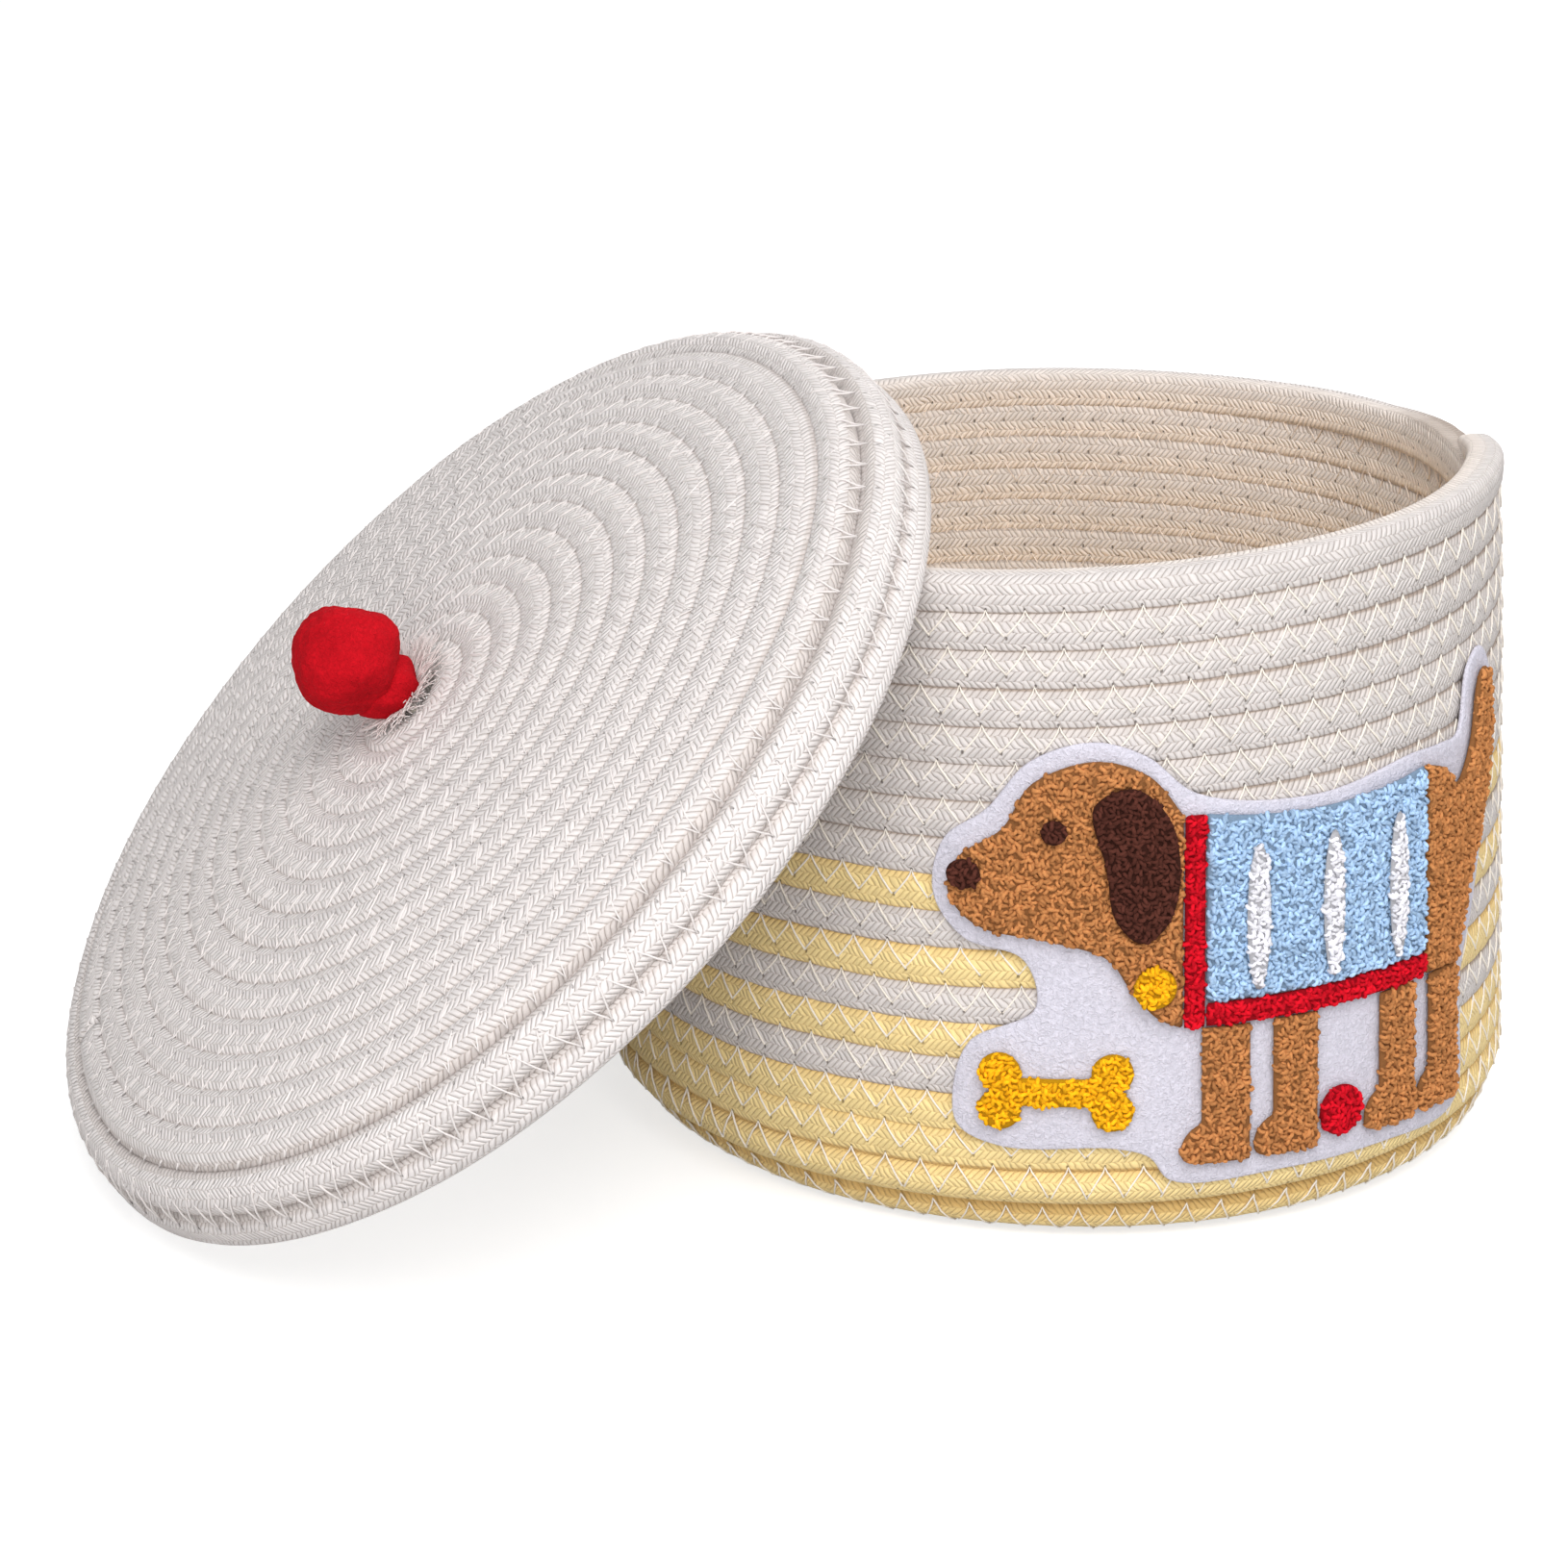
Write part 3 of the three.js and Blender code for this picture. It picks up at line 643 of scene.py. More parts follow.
class GeometryTree(Tree):
    """A geometry node tree with named inputs, ending in real meshes of one material."""

    def __init__(self, name, inputs):
        tree = bpy.data.node_groups.new(name, "GeometryNodeTree")
        super().__init__(tree)
        tree.interface.new_socket("Geometry", in_out="INPUT", socket_type="NodeSocketGeometry")
        self.names = {}
        for label, (kind, value) in {**inputs, "Material": ("Material", None)}.items():
            kind = "NodeSocket" + kind
            socket = tree.interface.new_socket(label, in_out="INPUT", socket_type=kind)
            if value is not None:
                socket.default_value = value
            self.names[label] = socket.identifier
        tree.interface.new_socket("Geometry", in_out="OUTPUT", socket_type="NodeSocketGeometry")
        self.input = self.values(tree.nodes.new("NodeGroupInput"))
        self.output = tree.nodes.new("NodeGroupOutput")

    def named(self, name, kind="FLOAT"):
        return self.node("GeometryNodeInputNamedAttribute", {"Name": name}, data_type=kind)

    def store(self, geometry, name, kind, value):
        inputs = {"Geometry": geometry, "Name": name, "Value": value}
        return self.node("GeometryNodeStoreNamedAttribute", inputs, data_type=kind, domain="POINT")

    def shape_of(self, label):
        """The mesh of the object given as an input."""
        return self.node("GeometryNodeObjectInfo", {"Object": self.input[label]}, "Geometry")

    def smooth(self, geometry):
        return self.node("GeometryNodeSetShadeSmooth", {"Geometry": geometry})

    def finish(self, geometry):
        real = self.node("GeometryNodeRealizeInstances", {0: geometry})
        inputs = {"Geometry": real, "Material": self.input["Material"]}
        self.put(self.node("GeometryNodeSetMaterial", inputs), self.output.inputs[0])
        return self


def grow(carrier, tree, values, name):
    """Runs a tree on the carrier and returns its result as a plain mesh object."""
    modifier = carrier.modifiers.new(name, "NODES")
    modifier.node_group = tree.tree
    for label, value in values.items():
        modifier[tree.names[label]] = value
    carrier.update_tag()
    bpy.context.view_layer.update()
    graph = bpy.context.evaluated_depsgraph_get()
    mesh = bpy.data.meshes.new_from_object(
        carrier.evaluated_get(graph), preserve_all_data_layers=True, depsgraph=graph
    )
    carrier.modifiers.remove(modifier)
    bpy.data.objects.remove(carrier)
    mesh.name = name
    mesh.materials.clear()
    mesh.materials.append(values["Material"])
    mesh.polygons.foreach_set("material_index", np.zeros(len(mesh.polygons), np.int32))
    return linked(name, mesh)


def rope_tree():
    """Sweeps a rounded section along a rope's frames, pinched by its stitches."""
    t = GeometryTree(
        "Wound rope",
        {
            "Section": ("Object", None),
            "Round section": ("Object", None),
            "Section points": ("Int", 20),
            "Half width": ("Float", 0.0058),
            "Free half": ("Float", 0.0047),
            "Round half": ("Float", 0.0051),
            "Half thickness": ("Float", 0.0045),
            "Pinch": ("Float", 0.1),
        },
    )
    given = t.input
    path, sides, thickness = given["Geometry"], given["Section points"], given["Half thickness"]
    count = t.node("GeometryNodeAttributeDomainSize", {0: path}, "Point Count")
    grid = t.node("GeometryNodeMeshGrid", {"Vertices X": count, "Vertices Y": sides})
    index = t.node("GeometryNodeInputIndex")
    here = t.node("GeometryNodeInputPosition")
    step = t.math("FLOOR", (index + 0.25) / sides)
    side = index - step * sides

    def sampled(source, at, value, kind="FLOAT_VECTOR"):
        inputs = {"Geometry": source, "Value": value, "Index": at}
        return t.node("GeometryNodeSampleIndex", inputs, data_type=kind)

    def of_path(name, kind="FLOAT_VECTOR"):
        return sampled(path, step, t.named(name, kind), kind)

    across, out, stitch = of_path("across"), of_path("out"), of_path("stitch")
    along, girth, bent = (of_path(name, "FLOAT") for name in ("along", "girth", "bent"))

    def blend(flat, plump):
        return flat + (plump - flat) * bent

    flat_shape, round_shape = (
        t.split(sampled(t.shape_of(label), side, here)) for label in ("Section", "Round section")
    )
    x, y = blend(flat_shape[0], round_shape[0]), blend(flat_shape[1], round_shape[1])
    above, below, free = t.split(stitch)

    def pull(phase, weight):
        wave = t.math("COSINE", phase * (2 * math.pi))
        return (wave + 1.0) * 0.5 * weight

    upper = t.ramp(x, -0.4, 1.0) * (1.0 - free)
    lower = t.ramp(x, 0.4, -1.0)
    slim = 1.0 - (pull(above + HOLE_SHIFT, upper) + pull(below, lower)) * given["Pinch"]
    fuller = 1.0 + free * 0.05
    loose = t.math("GREATER_THAN", x, 0.0) * free
    half = blend(given["Half width"], given["Round half"])
    wide = x * girth * (half - loose * (half - given["Free half"]))
    depth = t.math("POWER", t.math("ABSOLUTE", y), INSIDE_POWER)
    inward = t.math("LESS_THAN", y, 0.0) * (0.0 - depth)
    thick = (inward + t.math("MAXIMUM", y, 0.0)) * girth * thickness * slim * fuller
    place = sampled(path, step, here)
    for direction, reach in ((across, wide), (out, thick)):
        inputs = {0: direction, "Scale": reach}
        shift = t.node("ShaderNodeVectorMath", inputs, operation="SCALE")
        place = t.node("ShaderNodeVectorMath", {0: place, 1: shift}, operation="ADD")
    made = t.store(grid, "lay", "FLOAT_VECTOR", t.join(along, wide / thickness, y))
    made = t.store(made, "stitch", "FLOAT_VECTOR", stitch)
    made = t.node("GeometryNodeSetPosition", {"Geometry": made, "Position": place})
    made = t.node("GeometryNodeMergeByDistance", {"Geometry": made, "Distance": 2e-6})
    return t.finish(t.smooth(made))


def pile_tree():
    """Puts a loop of yarn on each point, leaning and turned by chance."""
    inputs = {"Shape": ("Object", None), "Uneven": ("Float", 0.1), "Seed": ("Int", 1)}
    t = GeometryTree("Loop pile", inputs)
    upright = t.node(
        "FunctionNodeAxesToRotation",
        {0: t.named("along", "FLOAT_VECTOR"), 1: t.named("out", "FLOAT_VECTOR")},
        primary_axis="X",
        secondary_axis="Z",
    )

    def chance(kind, least, most, shift):
        node = t.add("FunctionNodeRandomValue", data_type=kind)
        inputs = {"Min": least, "Max": most, "Seed": t.input["Seed"] + float(shift)}
        for socket in node.inputs:
            if socket.enabled and socket.name in inputs:
                t.put(inputs[socket.name], socket)
        return next(Value(t, output) for output in node.outputs if output.enabled)

    lean = chance("FLOAT_VECTOR", (-0.5, -0.5, -math.pi), (0.5, 0.5, math.pi), 11)
    lean = t.node("FunctionNodeEulerToRotation", {0: lean})
    turn = t.node("FunctionNodeRotateRotation", {0: upright, 1: lean}, rotation_space="LOCAL")
    size = chance("FLOAT", 1.0 - t.input["Uneven"], 1.0 + t.input["Uneven"], 23)
    points = t.store(t.input["Geometry"], "tint", "FLOAT", chance("FLOAT", 0.0, 1.0, 31))
    inputs = {"Points": points, "Instance": t.shape_of("Shape"), "Rotation": turn}
    inputs["Scale"] = t.join(size, size, size)
    return t.finish(t.node("GeometryNodeInstanceOnPoints", inputs))


def thread_tree():
    """Turns lines into round threads."""
    t = GeometryTree("Sewing thread", {"Radius": ("Float", 0.00025), "Sides": ("Int", 4)})
    line = t.node("GeometryNodeMeshToCurve", {0: t.input["Geometry"]})
    inputs = {"Resolution": t.input["Sides"], "Radius": t.input["Radius"]}
    ring = t.node("GeometryNodeCurvePrimitiveCircle", inputs)
    inputs = {"Curve": line, "Profile Curve": ring, "Fill Caps": True}
    return t.finish(t.smooth(t.node("GeometryNodeCurveToMesh", inputs)))


TREES = {}


def tree_named(name, build):
    """A tree that several pieces share, built when it is first asked for."""
    if name not in TREES:
        TREES[name] = build()
    return TREES[name]


def ring_faces(rings, sides):
    """Faces between rings of points, closed at both ends."""
    faces = []
    for i in range(rings - 1):
        for k in range(sides):
            a, b = i * sides + k, i * sides + (k + 1) % sides
            faces.append((a, b, b + sides, a + sides))
    last = (rings - 1) * sides
    return [*faces, tuple(range(sides - 1, -1, -1)), tuple(range(last, last + sides))]


def tube(points, radii, sides):
    """Points and faces of a tube along a line, round in section."""
    points = np.asarray(points, float)
    radii = np.broadcast_to(radii, len(points))
    ahead = unit(np.gradient(points, axis=0))
    guide = np.array([0.0, 0.0, 1.0])
    if abs(ahead[0] @ guide) > 0.9:
        guide = np.array([0.0, 1.0, 0.0])
    first = np.cross(ahead[0], guide)
    first /= np.linalg.norm(first)
    made = []
    for place, forward, radius in zip(points, ahead, radii):
        first = first - forward * (first @ forward)
        first /= np.linalg.norm(first)
        second = np.cross(forward, first)
        for k in range(sides):
            turn = 2 * math.pi * k / sides
            made.append(place + radius * (first * math.cos(turn) + second * math.sin(turn)))
    return made, ring_faces(len(points), sides)


# Materials.


class GroupTree(Tree):
    """A shader node group with named inputs and outputs."""

    def __init__(self, name, inputs):
        super().__init__(bpy.data.node_groups.new(name, "ShaderNodeTree"))
        for label, value in inputs.items():
            kind = "Vector" if isinstance(value, tuple) else "Float"
            self.socket(label, "INPUT", kind).default_value = value
        self.input = self.values(self.tree.nodes.new("NodeGroupInput"))

    def socket(self, label, side, kind):
        return self.tree.interface.new_socket(label, in_out=side, socket_type="NodeSocket" + kind)

    def finish(self, results):
        for label in results:
            self.socket(label, "OUTPUT", "Float")
        end = self.tree.nodes.new("NodeGroupOutput")
        for label, value in results.items():
            self.put(value, end.inputs[label])
        return self.tree


def plait_group(name):
    """Strands of a braided rope: bands of short strands that slant in turn."""
    t = GroupTree(name, {"Lay": (0, 0, 0), "Strand": 0.0016, "Bands": 12.0, "Slant": 1.15})
    along, x, y = t.split(t.input["Lay"])
    wobble = t.noise(t.join(along * 260.0, x, y), 1.0, 1.0) - 0.5
    band = t.math("ARCTAN2", y, x) / (2 * math.pi) * t.input["Bands"] + wobble * 0.55
    zig = t.math("PINGPONG", band, 1.0)
    level = t.math("FLOOR", band)
    odd = t.math("PINGPONG", level, 1.0)
    phase = along / t.input["Strand"] + zig * t.input["Slant"] + wobble * 0.8 + odd * 0.5
    ridge = t.math("POWER", t.math("ABSOLUTE", t.math("SINE", phase * math.pi)), 0.55)
    arch = t.math("POWER", t.math("SINE", (band - level) * math.pi), 0.4)
    height = ridge * (0.45 + arch * 0.55)
    cell = {"Vector": t.join(t.math("FLOOR", phase), level, 0.0)}
    strand = t.node("ShaderNodeTexWhiteNoise", cell, noise_dimensions="3D")
    # The crevice mask is for painted shade in the hollows between strands.
    return t.finish({"Height": height, "Crevice": t.ramp(height, 0.62, 0.12), "Strand": strand})


def stitch_group(name):
    """Masks for painted shade in the needle holes, in the seam between two rows and under the row
    above, and for painted bounce light inside the basket.
    """
    t = GroupTree(name, {"Lay": (0, 0, 0), "Stitch": (0, 0, 0), "Period": 1.9})
    x, y = t.split(t.input["Lay"])[1:]
    above, below, free = t.split(t.input["Stitch"])
    sewn = 1.0 - free
    inside = t.ramp(y, 0.1, -0.1)

    def hole(phase, outer, inner, wide, tall):
        u = (phase - t.math("ROUND", phase)) * t.input["Period"] / wide
        v = (x - (outer + inside * (inner - outer))) / tall
        return t.ramp(t.math("SQRT", u * u + v * v), 1.0, 0.3)

    # Needle holes: a dent in the bump, and painted shade that darkens the rope there.
    low_hole = hole(above + HOLE_SHIFT, -0.29, 0.08, 0.085, 0.15) * sewn
    high_hole = hole(below, -0.80, -0.47, 0.075, 0.12)
    # Painted bounce light: the inside colour grows towards the bottom of each row inside the
    # basket.
    bounce_low_in_row = t.ramp(x, 0.55, -1.0) * t.ramp(y, 0.35, -0.6)
    return t.finish({
        "Hole": t.math("MAXIMUM", low_hole, high_hole),
        # Painted shade in the groove between rows.
        "Seam": t.math("MAXIMUM", t.ramp(x, -0.88, -1.0), t.ramp(x, 0.90, 1.0) * sewn),
        # Painted shade in a band under the row above, on the outside.
        "Under": t.ramp(x, 0.30, 1.0) * sewn * t.ramp(y, -0.1, 0.1),
        "Inner": t.ramp(y, 0.45, -0.5) * 0.45 + bounce_low_in_row * 0.55,
    })


def fuzz_group(name):
    """Fine matted fibres, with uneven tone, for cotton, felt and yarn."""
    t = GroupTree(name, {"Fibre": 0.0004, "Patch": 0.012})
    place = t.node("ShaderNodeTexCoord", output="Object")
    fine = t.noise(place, 0.5 / t.input["Fibre"], 4.0, 1.2)
    broad = t.noise(place, 0.5 / t.input["Patch"], 2.0)
    return t.finish({"Height": fine, "Tone": broad, "Fine": t.ramp(fine, 0.3, 0.7)})


class Finish(Tree):
    """A cloth material: its nodes, and the Principled shader that they feed."""

    def __init__(self, name, roughness, sheen=0.12, specular=0.15, sheen_tint=(1, 1, 1)):
        self.material = bpy.data.materials.new(name)
        self.material.use_nodes = True
        super().__init__(self.material.node_tree)
        self.shader = self.tree.nodes["Principled BSDF"].inputs
        self.put(roughness, self.shader["Roughness"])
        self.put(specular, self.shader["Specular IOR Level"])
        self.put(sheen, self.shader["Sheen Weight"])
        self.put(0.5, self.shader["Sheen Roughness"])
        self.put((*sheen_tint, 1), self.shader["Sheen Tint"])

    def group(self, name, build, inputs):
        """A shared group, which is built when it is first asked for."""
        group = bpy.data.node_groups.get(name) or build(name)
        return self.values(self.add("ShaderNodeGroup", inputs, node_tree=group))

    def fuzz(self, fibre, patch):
        return self.group("Fibre fuzz", fuzz_group, {"Fibre": fibre, "Patch": patch})

    def attribute(self, name, output):
        return self.node("ShaderNodeAttribute", output=output, attribute_name=name)

    def mix(self, share, one, other, blend="MIX"):
        node = self.add("ShaderNodeMix", data_type="RGBA", blend_type=blend)
        sockets = {socket.identifier: socket for socket in node.inputs}
        for key, value in (("Factor_Float", share), ("A_Color", one), ("B_Color", other)):
            plain = isinstance(value, (Value, float))
            self.put(value if plain else (*value, 1), sockets[key])
        return next(Value(self, o) for o in node.outputs if o.identifier == "Result_Color")

    def toned(self, base, tone):
        """A colour made lighter or darker by a factor."""
        return self.mix(1.0, base, self.join(tone, tone, tone), "MULTIPLY")

    def end(self, base, height, distance, strength):
        self.put(base, self.shader["Base Color"])
        bump = {"Height": height, "Distance": distance, "Strength": strength}
        self.put(self.node("ShaderNodeBump", bump), self.shader["Normal"])
        return self.material


def shade(value, factor):
    return tuple(v * factor for v in value)


def rope_material(name, outer, inner, seam, shading, line, holes):
    """Braided cotton: slanting strands, needle holes and seams, with painted shade in the hollows,
    holes and seams and under each row, and painted bounce light inside the basket.
    """
    f = Finish(name, roughness=0.86, sheen=0.1)
    lay, stitch = f.attribute("lay", "Vector"), f.attribute("stitch", "Vector")
    plait = f.group("Plait", plait_group, {"Lay": lay})
    marks = f.group("Stitch marks", stitch_group, {"Lay": lay, "Stitch": stitch})
    fuzz = f.fuzz(fibre=0.00035, patch=0.02)
    tone = (fuzz["Tone"] - 0.5) * 0.12 + (plait["Strand"] - 0.5) * 0.13
    tone = tone + (fuzz["Fine"] - 0.5) * 0.05
    # Painted bounce light: the inside colour, lighter and warmer, on the inside of the basket.
    base = f.toned(f.mix(marks["Inner"], outer, inner), 1.0 + tone)
    # Painted light: inside the basket the painted shade in hollows and seams is weakened.
    less_shade_inside = 1.0 - marks["Inner"] * 0.7
    # Painted shade in the hollows between strands.
    base = f.mix(plait["Crevice"] * 0.48 * less_shade_inside, base, seam)
    # Painted shade in a band under the row above.
    base = f.mix(marks["Under"] * shading, base, seam)
    # Painted shade in the groove between two rows.
    base = f.mix(marks["Seam"] * line * less_shade_inside, base, shade(seam, 0.8))
    # Painted shade in the needle holes, besides their dent in the bump.
    base = f.mix(marks["Hole"] * holes, base, shade(seam, 0.35))
    height = plait["Height"] + fuzz["Height"] * 0.3 - marks["Hole"] * 1.6
    return f.end(base, height, distance=0.00045, strength=0.9)


def thread_material(name, value):
    """Twisted cotton thread."""
    f = Finish(name, roughness=0.75, sheen=0.1)
    fuzz = f.fuzz(fibre=0.0003, patch=0.006)
    tone = fuzz["Fine"] * 0.12 + f.attribute("tint", "Fac") * 0.2
    base = f.mix(tone, value, shade(value, 0.68))
    return f.end(base, fuzz["Height"], distance=0.00006, strength=0.5)


def yarn_material(name, value):
    """Fuzzy yarn, a little lighter or darker from loop to loop, with painted shade on the ground
    between the loops.
    """
    f = Finish(name, roughness=0.92, specular=0.08, sheen_tint=value)
    fuzz = f.fuzz(fibre=0.0002, patch=0.01)
    tone = (0.70 + f.attribute("tint", "Fac") * 0.52) * (0.9 + fuzz["Fine"] * 0.2)
    return f.end(f.toned(value, tone), fuzz["Height"], distance=0.0002, strength=0.9)


def felt_material(name, value, depth):
    """Pressed wool felt, with matted fibres."""
    f = Finish(name, roughness=0.95, specular=0.06, sheen_tint=value)
    fuzz = f.fuzz(fibre=0.0005, patch=0.004)
    tone = (1.0 - depth / 2 + fuzz["Tone"] * depth) * (0.90 + fuzz["Fine"] * 0.2)
    return f.end(f.toned(value, tone), fuzz["Height"], distance=0.0006, strength=1.0)


# Each finish: its slot, how it is made, the colours it takes, and its other values. A rope's other
# values are the strengths of its painted shade under a row, in the seams and in the needle holes.
FINISHES = {
    "white_rope": ("white_cotton_rope", rope_material, "white inside seam", (0.20, 0.7, 0.7)),
    "lid_rope": ("white_cotton_rope", rope_material, "lid_white lid_white seam", (0.06, 0.2, 0.3)),
    "yellow_rope": ("yellow_cotton_rope", rope_material, "yellow yellow ochre", (0.40, 0.6, 0.6)),
    "thread": ("cream_thread", thread_material, "thread", ()),
    "fray": ("cream_thread", thread_material, "fray", ()),
    # The thread inside takes the inside colour, with its painted bounce light.
    "inside_thread": ("cream_thread", thread_material, "inside", ()),
    "lid_thread": ("cream_thread", thread_material, "lid_thread", ()),
    "backing_felt": ("lilac_felt", felt_material, "felt", (0.12,)),
    "ball_felt": ("red_felt", felt_material, "ball", (0.5,)),
    "brown": ("brown_pile", yarn_material, "brown", ()),
    "dark": ("dark_brown_pile", yarn_material, "dark", ()),
    "blue": ("light_blue_pile", yarn_material, "blue", ()),
    "cream": ("cream_pile", yarn_material, "cream", ()),
    "gold": ("yellow_pile", yarn_material, "gold", ()),
    "red": ("red_pile", yarn_material, "red", ()),
}


def finish(kind):
    _, build, shades, others = FINISHES[kind]
    taken = [getattr(colours(), name) for name in shades.split()]
    return bpy.data.materials.get(kind) or build(kind, *taken, *others)


def fit(made, body, kind, *nodes):
    """Rides a finished piece on its body and hides the CAD nodes that it stands for."""
    if not made.data.materials:
        made.data.materials.append(finish(kind))
    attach(made, body)
    if nodes:
        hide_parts(*nodes)
    return made


# Ropes.


def section_ring(power, count):
    """A closed section, a rounded square one unit to each side."""
    turn = 2 * math.pi * (np.arange(count) / (count - 1))
    c, s = np.cos(turn), np.sin(turn)
    x = np.sign(c) * np.abs(c) ** (2 / power)
    y = np.sign(s) * np.abs(s) ** (2 / power)
    return mesh_object("rope_section", np.column_stack([x, y, np.zeros(count)]))


def girth_at(loops, first, last, winding, tips):
    """Full in the run of a rope, round at its ends."""
    ends = []
    for end, tip in zip((first, last), tips):
        share = np.clip(np.abs(winding.walk(loops) - winding.walk(end)) / tip, 0, 1)
        ends.append(np.sqrt(np.maximum(1 - (1 - share) ** 2, 0)))
    return np.minimum(*ends)


def make_rope(name, node, winding, first, last, kind, tips, step=1.7 * MM, power=None, pinch=0.05):
    """One wound rope between two counts of loops, in place of its CAD node."""
    count = max(12, round(abs(float(winding.walk(last) - winding.walk(first))) / step))
    walked = np.linspace(winding.walk(first), winding.walk(last), count)
    loops = np.interp(walked, winding.walked, winding.fine)
    points, across, out = winding.frames(loops)
    carrier = mesh_object(name, winding.place(points))
    free = np.clip(1 - (loops - FREE_LOOPS) / (1 - FREE_LOOPS), 0, 1)
    above = winding.walk(np.maximum(loops - 1, -1)) / rope().stitch
    give(carrier.data, "across", winding.turn(across))
    give(carrier.data, "out", winding.turn(out))
    give(carrier.data, "along", walked)
    give(carrier.data, "girth", girth_at(loops, first, last, winding, tips))
    give(carrier.data, "bent", winding.bent(loops))
    give(carrier.data, "stitch", np.column_stack([above, walked / rope().stitch, free]))
    section = section_ring(power or rope().roundness, SECTION_POINTS)
    plump = section_ring(BENT_POWER, SECTION_POINTS)
    values = {
        "Section": section,
        "Round section": plump,
        "Section points": SECTION_POINTS,
        "Half width": rope().squash,
        "Free half": rope().free_half,
        "Round half": rope().bent_half,
        "Half thickness": rope().thickness / 2,
        "Pinch": pinch,
        "Material": finish(kind),
    }
    made = grow(carrier, tree_named("rope", rope_tree), values, name)
    bpy.data.objects.remove(section)
    bpy.data.objects.remove(plump)
    face_outward(made)
    fit(made, winding.body, kind, node)


def stay(vectors):
    return vectors


def settled_wall(points):
    """The wall with its slow sway, which fades at the floor and nearly at the rim."""
    moved = settle_wall(points)
    height = points[:, 2:3]
    share = np.clip(height / 0.03, 0, 1) * np.clip((rope().wall_height - height) / 0.02, 0.2, 1)
    return moved + sway(moved, 0.5 * MM, 3) * share


def settled_lid(points):
    return place_lid(points + sway(points, 0.2 * MM, 8))


def wall_winding():
    return Winding("basket", wall_line(), rope().end_angle, 1, settled_wall, stay, rim_end)


def lid_winding():
    return Winding("lid", lid_line(), lid().end_angle, -1, settled_lid, turn_lid)


def rim_end(loops):
    """The rope's end is drawn down outside, and the row that meets it rises and passes inside."""
    moved = np.zeros((len(loops), 2))
    for row, before, after, up, out in RIM_SHIFTS:
        gap = loops - row
        share = ease(1 - np.where(gap < 0, -gap / before, gap / after))
        moved += share[:, None] * np.array([up, out])
    return moved * MM


# Zigzag stitches over the seams.

# Each stitch runs from needle hole to needle hole: to the right and down, in mm, as seen from
# outside, with the apex just above the seam. The last value is how far the thread sinks in.
OUTSIDE_STITCH = [
    (-4.1, 5.8, 1.0), (-3.9, 5.5, 0.1), (-2.6, 3.8, 0.08), (-1.3, 2.0, 0.04), (-0.4, 0.5, 0.0),
    (0.0, -0.8, 0.05), (0.5, 0.5, 0.0), (1.6, 2.0, 0.0), (3.0, 3.8, 0.0), (4.3, 5.5, 0.0),
    (4.5, 5.8, 1.0),
]
INSIDE_STITCH = [
    (-4.2, 4.2, 0.9), (-4.0, 4.0, 0.3), (-2.2, 1.2, 0.24), (-0.2, -2.4, 0.3),
    (0.2, -2.4, 0.3), (2.4, 1.2, 0.24), (4.3, 4.0, 0.3), (4.5, 4.2, 0.9),
]


def row_surface(down, squash, power):
    """Height of the rows' surface over their middle, at a distance below a seam."""
    half = rope().pitch / 2
    share = np.clip((half - np.abs(down)) / squash, 0, 1)
    return rope().thickness / 2 * (1 - share**power) ** (1 / power)


def sew(name, winding, last, kind, side, sink, seed):
    """The stitches of one rope, outside (side 1) or inside (side -1)."""
    r = rope()
    half = r.thickness / 2
    shape = np.array(OUTSIDE_STITCH if side > 0 else INSIDE_STITCH) * MM
    right, down, sunk = shape.T
    low, high = winding.walk(ROPE_START) / r.stitch, winding.walk(last) / r.stitch
    starts = np.arange(math.ceil(low), math.floor(high) + 1)
    rng = np.random.default_rng(seed)
    count, steps = len(starts), len(shape)
    stretch = rng.uniform(0.93, 1.05, (count, 1))
    shift = rng.normal(0, 0.12 * MM, (count, 1))
    walked = starts[:, None] * r.stitch - right[None, :] * stretch - shift
    loops = np.interp(walked, winding.walked, winding.fine)
    down = down[None, :] * rng.uniform(0.94, 1.04, (count, 1))
    depth = rng.uniform(0.0, 0.22, (count, 1)) * MM * (right[None, :] < -0.5 * MM)
    near = np.maximum(np.abs(down), 0.7 * MM)
    bent = winding.bent(loops)
    height = (1 - bent) * row_surface(near, r.squash, r.roundness)
    height = height + bent * row_surface(near, r.bent_half, BENT_POWER)
    if side < 0:
        height = half * (height / half) ** INSIDE_POWER
    height = height + r.thread * 0.3 - sunk[None, :] - depth - sink
    points, _, out = winding.frames(loops.ravel(), 0.5 + down.ravel() / r.pitch)
    points = points + out * height.ravel()[:, None] * side
    edges = [(i * steps + k, i * steps + k + 1) for i in range(count) for k in range(steps - 1)]
    carrier = mesh_object(name, winding.place(points), edges)
    give(carrier.data, "tint", np.repeat(rng.uniform(0, 1, count), steps))
    values = {"Radius": r.thread / 2, "Sides": 4 if side > 0 else 3, "Material": finish(kind)}
    fit(grow(carrier, tree_named("thread", thread_tree), values, name), winding.body, kind)


# Cloth of the dog figure.


def wrap_on_wall(flat, out):
    """Places flat cloth on the wall: x to the right and y up, seen from outside."""
    r, g = rope(), figure()
    line = wall_line()
    lean = wall_lean()
    height = g.height + flat[:, 1]
    drawn_in = (line.end[1] - height) * math.tan(lean)
    radius = line.end[0] + drawn_in + r.thickness / 2 / math.cos(lean) + out
    turn = g.angle + flat[:, 0] / r.foot_radius
    return settle_wall(np.column_stack([radius * np.cos(turn), radius * np.sin(turn), height]))


